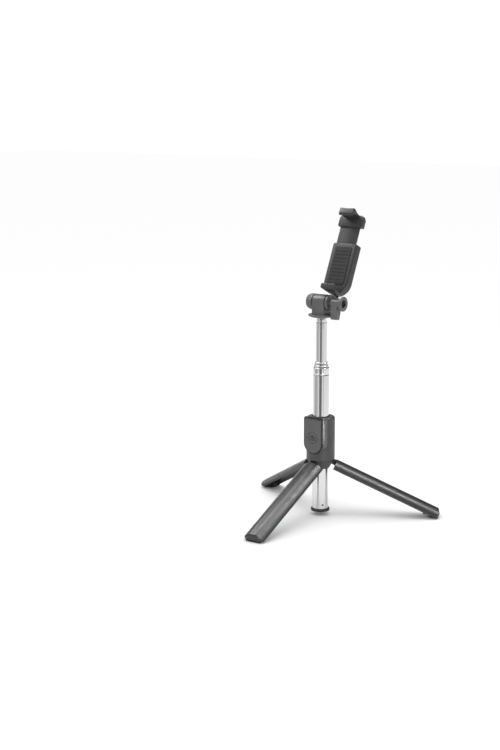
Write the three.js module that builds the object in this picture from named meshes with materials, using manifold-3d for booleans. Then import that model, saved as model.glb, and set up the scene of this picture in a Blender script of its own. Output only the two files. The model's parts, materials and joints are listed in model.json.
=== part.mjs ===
// A selfie stick that unfolds into a small tripod: a handle of three legs round a telescopic pole,
// with a pull-out remote in the housing and a sprung phone clamp on a tilting, turning head.
//
// Frame: millimetres, +Z up along the pole, origin at the centre of the pole end cap's flat underside.
// The remote and the front leg face -Y. Modelled as it stands: legs open, clamp at a phone's width.
import * as THREE from 'three';
import { mergeVertices } from 'three/addons/utils/BufferGeometryUtils.js';
import Module from 'manifold-3d';

const wasm = await Module();
wasm.setup();

// ---------------------------------------------------------------- driving dimensions

const FLOOR_Z = -4; // the feet stand this far below the end cap
const GAP = 0.3; // between pieces that turn together but are separate
const FINE = 36; // sides of a large round piece
const MEDIUM = 24;
const SMALL = 12;

const LEG_COUNT = 3;
const LEG_SPREAD = 65; // degrees from folded to open
const LEG_HALF_ANGLE = 58.6; // half of the sector that one leg fills
const LEG_OUTER_R = 14.3;
const LEG_CHANNEL_R = 10;
const LEG_LENGTH = 121.3; // from its hinge pin to its tip
const LEG_TOP = -5; // its square upper end, below the pin when folded
const LEG_NOSE_R = 4.8; // how its outside rounds down at the tip
const LEG_TIP_R = 6; // the tip's corners, seen from outside
const HINGE = { r: 10.6, z: 51.6, pin: 0.9, knuckle: 1.9, tongue: 3.3 };

const BODY = { r: 14.35, bottom: 45, cone: 54.4, parting: 53.8, top: 98.2, bore: 8.9 };
const CONE_FOOT_R = 9.4;

const TUBE = [
  { r: 8.15, wall: 0.6, from: 3, to: 148 },
  { r: 7.35, wall: 0.5, from: 20, to: 150.5 },
  { r: 6.5, wall: 0.5, from: 27, to: 153.6 },
  { r: 5.65, wall: 0.5, from: 70.4, to: 193.8 },
];
const CAP = { r: 9.5, thick: 3, spigot: 9 };

const REMOTE = { half: 10.6, low: 72.2, top: 97, back: -10.6, split: -14.2, face: -15.3 };
const REMOTE_WALL = 0.7;
const BUTTON = { r: 5.25, hole: 5.55, z: 78, proud: 0.25 };
const LED_X = -7;
const DOCK = { half: 12.4, front: -13.5, bevel: 1.2, gap: 0.35 };

const HEAD = { neckR: 5.1, neckFrom: 193.8, neckTo: 199, discR: 13.2, discTop: 202 };
const AXIS_Z = 214; // the tilt axis, along X
const BLOCK = { x0: -6.8, x1: 7.2, half: 8 };
const BOLT_R = 2;
const EAR = { x0: 8.1, x1: 10.6, r: 8 };

const TILT = 25.6; // degrees that the clamp leans back
const LEVER = {
  x0: 13.2,
  x1: 26.4,
  hubR: 5.2,
  flangeR: 7.4,
  flange: 2.6,
  reach: 16.3,
  lean: 8,
  nutSeat: 4.4,
  recessR: 4.1,
};
const WING = { from: 13.5, to: 20.8 };

// The clamp is measured upright, from the tilt axis: x across, y back, z up.
const CLAMP_X = 9.3;
const CLAMP = { half: 13.75, front: 1, split: 8.6, back: 11, top: 64, wall: 1.85 };
const PIVOT_Z = 23.35;
const PHONE = { back: 0.4, front: -8.6, low: 13, high: 90.9 };
const JAW_HALF = 8.2;
const PAD = 1.1;
const ROD = { x: 7.5, y: 6.5, r: 1, from: 15.7, to: 60.8 };
const CROSSBAR = { from: 36, to: 40 };

// ---------------------------------------------------------------- solids

const MERGE_TOLERANCE = 1e-4;

function signedVolume(position, triangles) {
  const [a, b, c] = [new THREE.Vector3(), new THREE.Vector3(), new THREE.Vector3()];
  let volume = 0;
  for (let i = 0; i < triangles.length; i += 3) {
    a.fromBufferAttribute(position, triangles[i]);
    b.fromBufferAttribute(position, triangles[i + 1]);
    c.fromBufferAttribute(position, triangles[i + 2]);
    volume += a.dot(b.cross(c)) / 6;
  }
  return volume;
}

// A closed three.js geometry as a solid that can be joined and cut.
function toSolid(geometry) {
  const bare = geometry.clone();
  bare.deleteAttribute('normal');
  bare.deleteAttribute('uv');
  const merged = mergeVertices(bare, MERGE_TOLERANCE);
  const position = merged.getAttribute('position');
  const index = merged.getIndex().array;
  const triangles = [];
  for (let i = 0; i < index.length; i += 3) {
    const [a, b, c] = index.slice(i, i + 3);
    if (a !== b && b !== c && c !== a) triangles.push(a, b, c);
  }
  if (signedVolume(position, triangles) < 0) triangles.reverse();
  const vertProperties = new Float32Array(position.array);
  const triVerts = new Uint32Array(triangles);
  return new wasm.Manifold(new wasm.Mesh({ numProp: 3, vertProperties, triVerts }));
}

function toGeometry(solid) {
  const mesh = solid.getMesh();
  const geometry = new THREE.BufferGeometry();
  geometry.setAttribute('position', new THREE.BufferAttribute(mesh.vertProperties, 3));
  geometry.setIndex(new THREE.BufferAttribute(mesh.triVerts, 1));
  return geometry;
}

function combine(geometries, operation) {
  return toGeometry(geometries.map(toSolid).reduce(operation));
}

const join = (...geometries) => combine(geometries, (a, b) => a.add(b));
const cut = (...geometries) => combine(geometries, (a, b) => a.subtract(b));
const common = (...geometries) => combine(geometries, (a, b) => a.intersect(b));

function box(x0, x1, y0, y1, z0, z1) {
  const geometry = new THREE.BoxGeometry(x1 - x0, y1 - y0, z1 - z0);
  return geometry.translate((x0 + x1) / 2, (y0 + y1) / 2, (z0 + z1) / 2);
}

// A profile of [radius, z] points turned about Z. It ends on the axis, or closes on itself.
function turned(profile, segments = FINE) {
  const points = profile.map(([r, z]) => new THREE.Vector2(r, z));
  const onAxis = points[0].x === 0 && points.at(-1).x === 0;
  if (!onAxis) points.push(points[0].clone());
  return new THREE.LatheGeometry(points, segments).rotateX(Math.PI / 2);
}

function rod(r, z0, z1, segments = MEDIUM) {
  return turned([[0, z0], [r, z0], [r, z1], [0, z1]], segments);
}

function ring(inner, outer, z0, z1, segments = FINE) {
  return turned([[inner, z0], [outer, z0], [outer, z1], [inner, z1]], segments);
}

// Turns a piece made along +Z so that it lies along +X, or along +Y.
const alongX = (geometry) => geometry.rotateY(Math.PI / 2);
const alongY = (geometry) => geometry.rotateX(-Math.PI / 2);

const rodX = (r, x0, x1, y, z, segments) => alongX(rod(r, x0, x1, segments)).translate(0, y, z);
const rodY = (r, y0, y1, x, z, segments) => alongY(rod(r, y0, y1, segments)).translate(x, 0, z);

function extruded(shape, depth, curveSegments = 12) {
  return new THREE.ExtrudeGeometry(shape, { depth, bevelEnabled: false, curveSegments });
}

function basis(...axes) {
  return new THREE.Matrix4().makeBasis(...axes.map((axis) => new THREE.Vector3(...axis)));
}

const FROM_YZ = basis([0, 1, 0], [0, 0, 1], [1, 0, 0]);
const FROM_XZ = basis([1, 0, 0], [0, 0, 1], [0, -1, 0]);

// An outline drawn in (y, z) and extruded from x0 to x1.
function plateX(shape, x0, x1, curveSegments) {
  return extruded(shape, x1 - x0, curveSegments).applyMatrix4(FROM_YZ).translate(x0, 0, 0);
}

// An outline drawn in (x, z) and extruded from y0 to y1.
function plateY(shape, y0, y1, curveSegments) {
  return extruded(shape, y1 - y0, curveSegments).applyMatrix4(FROM_XZ).translate(0, y1, 0);
}

// An outline drawn in (x, z), extruded towards +Y and bevelled all round, depth from its back bevel.
function bevelled(shape, depth, bevel, bevelSegments) {
  return new THREE.ExtrudeGeometry(shape, {
    depth,
    bevelEnabled: true,
    bevelThickness: bevel,
    bevelSize: bevel,
    bevelOffset: -bevel,
    bevelSegments,
    curveSegments: 10,
  }).applyMatrix4(FROM_XZ);
}

const outline = (points) => new THREE.Shape(points.map(([a, b]) => new THREE.Vector2(a, b)));

// A tongue: straight sides and a flat top, with a half-round lower end centred at (x, z).
function tongue(x, z, half, top) {
  const shape = new THREE.Shape();
  shape.moveTo(x + half, top);
  shape.lineTo(x - half, top);
  shape.lineTo(x - half, z);
  shape.absarc(x, z, half, Math.PI, 2 * Math.PI, false);
  shape.lineTo(x + half, top);
  return shape;
}

function hexagon(acrossCorners, x0, x1) {
  return alongX(rod(acrossCorners / 2, x0, x1, 6));
}

// ---------------------------------------------------------------- materials and meshes

function finish(color, roughness, metalness) {
  return { color, roughness, metalness };
}

const DARK_PLASTIC = finish(0x4a4a4c, 0.42, 0);
const LEG_PLASTIC = finish(0x454547, 0.38, 0);
const BLACK_PLASTIC = finish(0x252527, 0.5, 0);
const RUBBER = finish(0x1c1c1e, 0.85, 0);
const POLISHED_TUBE = finish(0xd8d9dc, 0.1, 1);
const STEEL = finish(0x9a9ca0, 0.3, 1);
const BOARD = finish(0x1f5a38, 0.6, 0);
const LAMP = finish(0xa8c4e6, 0.2, 0);

function piece(name, geometry, look) {
  const mesh = new THREE.Mesh(geometry, new THREE.MeshStandardMaterial(look));
  mesh.name = name;
  return mesh;
}

function groupOf(...children) {
  const group = new THREE.Group();
  group.add(...children);
  return group;
}

const radians = THREE.MathUtils.degToRad;

// ---------------------------------------------------------------- housing and its hinge hub

const coneSlope = (BODY.r - CONE_FOOT_R) / (BODY.cone - BODY.bottom);
const coneR = (z) => CONE_FOOT_R + (z - BODY.bottom) * coneSlope;
const legAngle = (i) => (i * 360) / LEG_COUNT;

function aroundPole(geometry, i) {
  return geometry.rotateZ(radians(legAngle(i)));
}

function housingSleeve() {
  const rim = 3;
  const shell = turned([
    [0, BODY.parting],
    [coneR(BODY.parting), BODY.parting],
    [BODY.r, BODY.cone],
    [BODY.r, BODY.top - rim],
    [BODY.r - 0.9, BODY.top - 1.2],
    [BODY.r - rim, BODY.top],
    [0, BODY.top],
  ]);
  const dockOutline = tongue(0, REMOTE.low, DOCK.half, BODY.top);
  const dockDepth = 6;
  const dock = bevelled(dockOutline, dockDepth, DOCK.bevel, 1)
    .translate(0, DOCK.front + DOCK.bevel + dockDepth, 0);
  const pocketOutline = tongue(0, REMOTE.low, REMOTE.half + DOCK.gap, BODY.top + 5);
  const pocket = plateY(pocketOutline, -20, REMOTE.back + GAP);
  const bore = rod(BODY.bore, BODY.parting - 1, BODY.top + 1, FINE);
  const spigotSeat = rod(11.3, BODY.parting - 1, 60.2, FINE);
  return cut(join(shell, dock), pocket, bore, spigotSeat);
}

const HUB_SCREW_R = 9.75; // its three screws stand opposite the legs

// The legs' pins and knuckles sit in three slots of this cone.
function hingeHub() {
  const body = turned([
    [8.45, BODY.bottom],
    [CONE_FOOT_R, BODY.bottom],
    [coneR(BODY.parting) - 0.08, BODY.parting - 0.15],
    [11, BODY.parting - 0.15],
    [11, 60],
    [8.45, 60],
  ]);
  const slotTop = HINGE.z + HINGE.knuckle + 0.3;
  const cuts = [];
  for (let i = 0; i < LEG_COUNT; i += 1) {
    const half = HINGE.tongue + 0.35;
    cuts.push(aroundPole(box(-half, half, -18, -7.5, 40, slotTop), i));
    cuts.push(aroundPole(rodX(HINGE.pin + 0.05, -5.8, 5.8, -HINGE.r, HINGE.z, SMALL), i));
    cuts.push(aroundPole(rod(0.95, 47, 61, SMALL).translate(0, HUB_SCREW_R, 0), i));
  }
  return cut(body, ...cuts);
}

function hingePin(i) {
  return aroundPole(rodX(HINGE.pin, -5.6, 5.6, -HINGE.r, HINGE.z, SMALL), i);
}

function hubScrew(i) {
  return aroundPole(rod(0.9, 48, 59.5, SMALL).translate(0, HUB_SCREW_R, 0), i);
}

const LEG_NAMES = ['front', 'right', 'left'];

const housing = groupOf(
  piece('housing_sleeve', housingSleeve(), DARK_PLASTIC),
  piece('hinge_hub', hingeHub(), DARK_PLASTIC),
  piece('slide_bush_lower', ring(8.25, 8.8, 61, 67), BLACK_PLASTIC),
  piece('slide_bush_upper', ring(8.25, 8.8, BODY.top - 6, BODY.top - 0.6), BLACK_PLASTIC),
  ...LEG_NAMES.map((name, i) => piece(`hinge_pin_${name}`, hingePin(i), STEEL)),
  ...LEG_NAMES.map((name, i) => piece(`hub_screw_${i + 1}`, hubScrew(i), STEEL)),
);

// ---------------------------------------------------------------- legs

// A leg is made folded, below its hinge pin at the origin, with its outside towards -Y.
function legSector(inner, outer, z0, z1) {
  const start = radians(-90 - LEG_HALF_ANGLE);
  const end = radians(-90 + LEG_HALF_ANGLE);
  const shape = new THREE.Shape();
  shape.absarc(0, 0, outer, start, end, false);
  shape.absarc(0, 0, inner, end, start, true);
  shape.closePath();
  return extruded(shape, z1 - z0, 8).translate(0, HINGE.r, z0);
}

// Where the floor is for the folded leg: it turns down to z = FLOOR_Z when the leg opens.
const floorDrop = HINGE.z - FLOOR_Z;

function floorHalfSpace(lift) {
  const slab = box(-40, 40, -200, 200, -90, 0).translate(0, 0, lift - floorDrop);
  return slab.rotateX(radians(LEG_SPREAD));
}

const END_BLOCK = 9;
const BLOCK_INNER_R = 3;
const PAD_THICK = 1.7;

// The leg's side outline, in (y, z): its outside rounds down to the tip.
function legSide() {
  const crown = HINGE.r - LEG_OUTER_R;
  const shape = new THREE.Shape();
  shape.moveTo(20, LEG_TOP + 5);
  shape.lineTo(crown, LEG_TOP + 5);
  shape.lineTo(crown, LEG_NOSE_R - LEG_LENGTH);
  shape.absarc(crown + LEG_NOSE_R, LEG_NOSE_R - LEG_LENGTH, LEG_NOSE_R, Math.PI, 1.5 * Math.PI, false);
  shape.lineTo(20, -LEG_LENGTH);
  return plateX(shape, -20, 20, 6);
}

// The leg's front outline, in (x, z): the tip's two corners are round.
function legFront() {
  const half = LEG_OUTER_R - 2;
  const corner = LEG_TIP_R - LEG_LENGTH;
  const shape = new THREE.Shape();
  shape.moveTo(half, LEG_TOP + 5);
  shape.lineTo(-half, LEG_TOP + 5);
  shape.lineTo(-half, corner);
  shape.absarc(LEG_TIP_R - half, corner, LEG_TIP_R, Math.PI, 1.5 * Math.PI, false);
  shape.absarc(half - LEG_TIP_R, corner, LEG_TIP_R, 1.5 * Math.PI, 2 * Math.PI, false);
  return plateY(shape, -20, 30, 6);
}

function legBlank() {
  const shell = legSector(LEG_CHANNEL_R, LEG_OUTER_R, -LEG_LENGTH, LEG_TOP);
  const block = legSector(BLOCK_INNER_R, LEG_OUTER_R - 1, -LEG_LENGTH, END_BLOCK - LEG_LENGTH);
  return common(join(shell, block), legSide(), legFront());
}

// The housing's outside with running clearance, as the folded leg meets it when swung by an angle.
function housingClearance(angle) {
  const clear = 0.4;
  const body = turned([
    [0, BODY.bottom - 4],
    [CONE_FOOT_R + clear, BODY.bottom - 4],
    [CONE_FOOT_R + clear, BODY.bottom - 0.2],
    [BODY.r + clear, BODY.cone - 0.2],
    [BODY.r + clear, BODY.cone + 20],
    [0, BODY.cone + 20],
  ]);
  return body.translate(0, HINGE.r, -HINGE.z).rotateX(radians(angle));
}

function legShell() {
  const swings = [0, 16, 33, 49, LEG_SPREAD].map(housingClearance);
  const shell = cut(legBlank(), ...swings, floorHalfSpace(PAD_THICK));
  const strap = new THREE.Shape();
  strap.absarc(0, 0, HINGE.knuckle, radians(-20), radians(200), false);
  strap.lineTo(-2.9, -3.6);
  strap.lineTo(-2.9, -11);
  strap.lineTo(HINGE.knuckle, -9);
  strap.closePath();
  const knuckle = plateX(strap, -HINGE.tongue, HINGE.tongue, 5);
  const peg = rod(1.3, 0, 8.5, SMALL).rotateX(-Math.PI / 2).translate(0, 0, -LEG_LENGTH + 13.4);
  const pinHole = rodX(HINGE.pin + 0.15, -5, 5, 0, 0, SMALL);
  return cut(join(shell, knuckle, peg), pinHole);
}

function footPad() {
  const inset = 0.6;
  const foot = common(legBlank(), floorHalfSpace(PAD_THICK - GAP));
  const half = LEG_HALF_ANGLE - 3;
  const shape = new THREE.Shape();
  shape.absarc(0, 0, LEG_OUTER_R - inset, radians(-90 - half), radians(-90 + half), false);
  shape.lineTo(0, -BLOCK_INNER_R);
  shape.closePath();
  const trim = extruded(shape, 60, 8).translate(0, HINGE.r, -LEG_LENGTH - 20);
  return cut(common(foot, trim), floorHalfSpace(0));
}

function leg(name, i) {
  const swing = groupOf(
    piece(`leg_${name}`, legShell(), LEG_PLASTIC),
    piece(`foot_pad_${name}`, footPad(), RUBBER),
  );
  swing.position.set(0, -HINGE.r, HINGE.z);
  swing.rotation.x = -radians(LEG_SPREAD);
  const around = groupOf(swing);
  around.rotation.z = radians(legAngle(i));
  return around;
}

// ---------------------------------------------------------------- telescopic pole

const LIP = 0.35; // each section's rolled upper edge

function tube({ r, wall, from, to }) {
  return turned([
    [r - wall, from],
    [r, from],
    [r, to - LIP],
    [r - LIP, to],
    [r - wall, to],
  ]);
}

// The groove that crimps the outer tube onto its liner.
function outerTube() {
  const groove = { z: 141, depth: 0.25, half: 0.7 };
  const { r, wall, from, to } = TUBE[0];
  return turned([
    [r - wall, from],
    [r, from],
    [r, groove.z - groove.half],
    [r - groove.depth, groove.z],
    [r, groove.z + groove.half],
    [r, to - LIP],
    [r - LIP, to],
    [r - wall, to],
  ]);
}

function endCap() {
  const inner = TUBE[0].r - TUBE[0].wall - 0.05;
  return turned([
    [0, 0],
    [CAP.r - 0.9, 0],
    [CAP.r, 0.9],
    [CAP.r, CAP.thick - 0.7],
    [CAP.r - 0.7, CAP.thick],
    [inner, CAP.thick],
    [inner, CAP.thick + CAP.spigot],
    [0, CAP.thick + CAP.spigot],
  ]);
}

const CAP_RIVET = { angle: 50, z: 7.2, r: 0.8 };

function capRivet(r, reach) {
  const shaft = rod(r, TUBE[0].r - 2.4, TUBE[0].r + reach, SMALL).rotateX(Math.PI / 2);
  return shaft.rotateZ(radians(CAP_RIVET.angle)).translate(0, 0, CAP_RIVET.z);
}

function slidingBush(outer, inner, top, length) {
  return ring(inner, outer, top - length, top);
}

function tubeFourPlug() {
  const inner = TUBE[3].r - TUBE[3].wall - 0.05;
  const z = TUBE[3].from;
  const half = 6;
  return turned([
    [0, z - half],
    [5.9, z - half],
    [5.9, z],
    [inner, z],
    [inner, z + half],
    [0, z + half],
  ]);
}

const pole = groupOf(
  piece('outer_tube', cut(outerTube(), capRivet(CAP_RIVET.r + 0.1, 1)), POLISHED_TUBE),
  piece('end_cap', cut(endCap(), capRivet(CAP_RIVET.r + 0.1, 1)), RUBBER),
  piece('cap_rivet', capRivet(CAP_RIVET.r, 0.15), STEEL),
  piece('tube_2', tube(TUBE[1]), POLISHED_TUBE),
  piece('tube_2_bush', slidingBush(7.5, 6.6, TUBE[1].from, 6), BLACK_PLASTIC),
  piece('tube_3', tube(TUBE[2]), POLISHED_TUBE),
  piece('tube_3_bush', slidingBush(6.8, 5.75, TUBE[2].from, 6), BLACK_PLASTIC),
  piece('tube_4', tube(TUBE[3]), POLISHED_TUBE),
  piece('tube_4_bush', tubeFourPlug(), BLACK_PLASTIC),
);

// ---------------------------------------------------------------- remote

function remoteBack() {
  const { half, low, top, back, split } = REMOTE;
  const shell = plateY(tongue(0, low, half, top), split, back, 10);
  const hollowOutline = tongue(0, low, half - REMOTE_WALL, top - REMOTE_WALL);
  const hollow = plateY(hollowOutline, split - 1, back - REMOTE_WALL, 8);
  return cut(shell, hollow);
}

function remoteFace() {
  const { half, low, top, split, face } = REMOTE;
  const bevel = 0.5;
  const lid = bevelled(tongue(0, low, half, top), split - face - bevel, bevel, 2).translate(0, split, 0);
  const buttonHole = rodY(BUTTON.hole, face - 2, split + 2, 0, BUTTON.z);
  const lampHole = rodY(0.65, face - 2, split + 2, LED_X, BUTTON.z, SMALL);
  const flatBack = box(-20, 20, split, 0, 50, 110);
  return cut(lid, buttonHole, lampHole, flatBack);
}

function remoteButton() {
  const { face, split } = REMOTE;
  const crown = alongY(turned([
    [0, 0],
    [BUTTON.r - 0.5, 0],
    [BUTTON.r, 0.4],
    [BUTTON.r, split - face + 0.8],
    [0, split - face + 0.8],
  ])).translate(0, face - BUTTON.proud, BUTTON.z);
  const lugY = split - BUTTON.proud + 0.8;
  const lugs = box(-6.2, 6.2, split + 0.1, lugY, BUTTON.z - 2, BUTTON.z + 2);
  const stem = rodY(1.1, lugY - 0.4, -13.55, 0, BUTTON.z, SMALL);
  return join(crown, lugs, stem);
}

function remoteBoard() {
  const board = outline([
    [-6.4, 66],
    [6.4, 66],
    [8.6, 70],
    [8.6, 82.4],
    [-8.6, 82.4],
    [-8.6, 70],
  ]);
  return plateY(board, -12, -11.4);
}

const remote = groupOf(
  piece('remote_back', remoteBack(), DARK_PLASTIC),
  piece('remote_face', remoteFace(), DARK_PLASTIC),
  piece('remote_button', remoteButton(), DARK_PLASTIC),
  piece('remote_board', remoteBoard(), BOARD),
  piece('remote_switch', box(-2, 2, -13, -12.05, BUTTON.z - 2, BUTTON.z + 2), STEEL),
  piece('remote_lamp', rodY(0.55, REMOTE.face - 0.05, -12.2, LED_X, BUTTON.z, SMALL), LAMP),
  piece('coin_cell', rodY(6.2, -13.5, -11.45, 0, 89.5), STEEL),
);

// ---------------------------------------------------------------- head: neck, block, bolt and lever

function neckPlug() {
  const inner = TUBE[3].r - TUBE[3].wall - 0.05;
  const { neckR, neckFrom, neckTo } = HEAD;
  return turned([
    [1.6, neckFrom - 6],
    [inner, neckFrom - 6],
    [inner, neckFrom],
    [neckR, neckFrom],
    [neckR, neckTo],
    [1.6, neckTo],
  ], MEDIUM);
}

function swivelPin() {
  return rod(1.4, HEAD.neckFrom - 9, HEAD.discTop + 3, SMALL);
}

function headBase() {
  const { neckTo, discR, discTop } = HEAD;
  const disc = turned([
    [0, neckTo + 0.2],
    [discR - 2.6, neckTo + 0.2],
    [discR, neckTo + 1.4],
    [discR, discTop - 0.5],
    [discR - 0.5, discTop],
    [0, discTop],
  ]);
  const profile = new THREE.Shape();
  profile.moveTo(-BLOCK.half, discTop - 1);
  profile.lineTo(BLOCK.half, discTop - 1);
  profile.lineTo(BLOCK.half, AXIS_Z);
  profile.absarc(0, AXIS_Z, BLOCK.half, 0, Math.PI, false);
  profile.lineTo(-BLOCK.half, discTop - 1);
  const block = plateX(profile, BLOCK.x0, BLOCK.x1, 12);
  const boltHole = rodX(BOLT_R + 0.2, -20, 20, 0, AXIS_Z);
  const pinHole = rod(1.55, neckTo - 1, discTop + 3.2, SMALL);
  return cut(join(disc, block), boltHole, pinHole);
}

function tiltKnob() {
  const edge = BLOCK.x0 - 0.35;
  const cap = alongX(turned([
    [0, -15.8],
    [4.2, -15.5],
    [6.6, -14.4],
    [7.8, -12.6],
    [8, -11],
    [8, edge],
    [0, edge],
  ]));
  const socket = alongX(rod(4, -14.2, 0, 6));
  return cut(cap, socket).translate(0, 0, AXIS_Z);
}

function tiltBolt() {
  const head = hexagon(7.4, -13.9, -10.9);
  return join(head, alongX(rod(BOLT_R, -11.5, 23, MEDIUM))).translate(0, 0, AXIS_Z);
}

function washer(outer, x0, x1) {
  return alongX(ring(BOLT_R + 0.2, outer, x0, x1, MEDIUM)).translate(0, 0, AXIS_Z);
}

function wingLever() {
  const { x0, x1, hubR, flangeR, flange, reach, lean } = LEVER;
  const hub = alongX(turned([
    [0, x0],
    [hubR - 0.6, x0],
    [hubR, x0 + 0.6],
    [hubR, x1 - flange - 0.8],
    [flangeR, x1 - flange],
    [flangeR, x1 - 0.5],
    [flangeR - 0.5, x1],
    [0, x1],
  ]));
  const wing = outline([
    [-hubR + 0.1, 0.6],
    [-4.5, -8],
    [-3.2, -reach + 1.2],
    [-2.2, -reach],
    [2.2, -reach],
    [3.2, -reach + 1.2],
    [4.5, -8],
    [hubR - 0.1, 0.6],
  ]);
  const blade = plateX(wing, WING.from, WING.to);
  const boltHole = alongX(rod(BOLT_R + 0.2, x0 - 1, x1 + 1));
  const recess = alongX(rod(LEVER.recessR, x0 + LEVER.nutSeat, x1 + 1));
  return cut(join(hub, blade), boltHole, recess).rotateX(-radians(lean)).translate(0, 0, AXIS_Z);
}

function leverNut() {
  const seat = LEVER.x0 + LEVER.nutSeat + 0.2;
  const nut = cut(hexagon(7.2, seat, seat + 3.2), alongX(rod(BOLT_R + 0.15, 0, 40)));
  return nut.translate(0, 0, AXIS_Z);
}

const head = groupOf(
  piece('neck_plug', neckPlug(), POLISHED_TUBE),
  piece('swivel_pin', swivelPin(), STEEL),
  piece('swivel_clip', ring(1.5, 3.6, HEAD.neckFrom - 7.2, HEAD.neckFrom - 6.4, SMALL), STEEL),
  piece('head_base', headBase(), DARK_PLASTIC),
  piece('tilt_knob', tiltKnob(), DARK_PLASTIC),
  piece('tilt_bolt', tiltBolt(), STEEL),
  piece('thrust_washer', washer(4, EAR.x1 + 0.15, LEVER.x0 - 0.15), STEEL),
  piece('wing_lever', wingLever(), DARK_PLASTIC),
  piece('lever_nut', leverNut(), STEEL),
);

// ---------------------------------------------------------------- tilting arm and phone clamp

function tiltArm() {
  const web = outline([
    [0, 0],
    [0, EAR.r],
    [5.5, 9],
    [CLAMP.back + 0.4, 9],
    [CLAMP.back + 0.4, PIVOT_Z + 7],
    [14.3, PIVOT_Z + 7],
    [14.3, 15],
    [6.5, -4.6],
  ]);
  const ear = plateX(web, EAR.x0, EAR.x1);
  const disc = rodY(10.5, CLAMP.back + GAP, 14.2, CLAMP_X, PIVOT_Z, FINE);
  const boss = rodX(EAR.r, EAR.x0, EAR.x1, 0, 0, FINE);
  const boltHole = rodX(BOLT_R + 0.25, EAR.x0 - 1, EAR.x1 + 1, 0, 0);
  const screwHole = rodY(2.6, 8, 20, CLAMP_X, PIVOT_Z);
  return cut(join(ear, disc, boss), boltHole, screwHole);
}

function frictionWasher() {
  return alongX(ring(BOLT_R + 0.25, 6.5, BLOCK.x1 + 0.15, EAR.x0 - 0.15, MEDIUM));
}

function pivotScrew() {
  const head = rodY(4.2, CLAMP.split + 0.4, CLAMP.split + 1.3, CLAMP_X, PIVOT_Z);
  return join(head, rodY(2.3, CLAMP.split + 1, 15.2, CLAMP_X, PIVOT_Z));
}

function pivotCap() {
  const cap = turned([
    [0, 0],
    [5, 0],
    [5, 0.7],
    [4.2, 1.3],
    [0, 1.3],
  ], MEDIUM);
  return alongY(cap).translate(CLAMP_X, 15.3, PIVOT_Z);
}

const SIDES = [-1, 1];

// A round bar on the line of one of the two screws that hold the cover.
function coverScrewRod(side, r, y0, y1) {
  return rodY(r, y0, y1, CLAMP_X + side * 9.4, CLAMP.top - 1.5, SMALL);
}

const clampOutline = (inset, top) => tongue(CLAMP_X, PIVOT_Z, CLAMP.half - inset, top);

function clampBody() {
  const { front, split, top, wall } = CLAMP;
  const shell = plateY(clampOutline(0, top), front, split, 12);
  const hollow = plateY(clampOutline(wall, top - 3), front + 1.6, split + 1, 12);
  const slit = box(CLAMP_X - 11.6, CLAMP_X + 11.6, front + 1.6, front + 3.9, 40, top + 5);
  const hook = outline([
    [front + 1, 9.5],
    [-4, 9.5],
    [-11.3, 11],
    [-11.5, 16],
    [-10.9, 16.8],
    [-9.2, 16.8],
    [PHONE.front - 0.1, 16.2],
    [PHONE.front - 0.1, PHONE.low - PAD - 0.1],
    [front + 1, PHONE.low - PAD - 0.1],
  ]);
  const jaw = common(
    plateX(hook, CLAMP_X - JAW_HALF, CLAMP_X + JAW_HALF),
    plateY(clampOutline(0.05, 40), -15, 5, 12),
  );
  const screwHoles = SIDES.map((side) => coverScrewRod(side, 0.95, split - 3.2, split + 1));
  return cut(join(cut(shell, hollow, slit), jaw), ...screwHoles);
}

function clampCover() {
  const { split, back, top } = CLAMP;
  const plate = plateY(clampOutline(0, top), split + 0.1, back, 12);
  const counterbore = rodY(4.6, split - 1, split + 1.6, CLAMP_X, PIVOT_Z);
  const hole = rodY(2.7, split - 1, back + 1, CLAMP_X, PIVOT_Z);
  const screwSeats = SIDES.flatMap((side) => [
    coverScrewRod(side, 0.95, split - 1, back + 1),
    coverScrewRod(side, 1.75, back - 1, back + 1),
  ]);
  return cut(plate, counterbore, hole, ...screwSeats);
}

function coverScrew(side) {
  return join(
    coverScrewRod(side, 1.6, CLAMP.back - 0.9, CLAMP.back - 0.1),
    coverScrewRod(side, 0.8, CLAMP.split - 2.8, CLAMP.back - 0.5),
  );
}

function backPad() {
  return box(CLAMP_X - 9.5, CLAMP_X + 9.5, PHONE.back, CLAMP.front - 0.05, 20, 60);
}

function jawPad(z0, z1) {
  const half = JAW_HALF - 0.7;
  return box(CLAMP_X - half, CLAMP_X + half, PHONE.front + 0.1, PHONE.back - 0.2, z0, z1);
}

const atRod = (geometry, side) => geometry.translate(CLAMP_X + side * ROD.x, ROD.y, 0);

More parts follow.
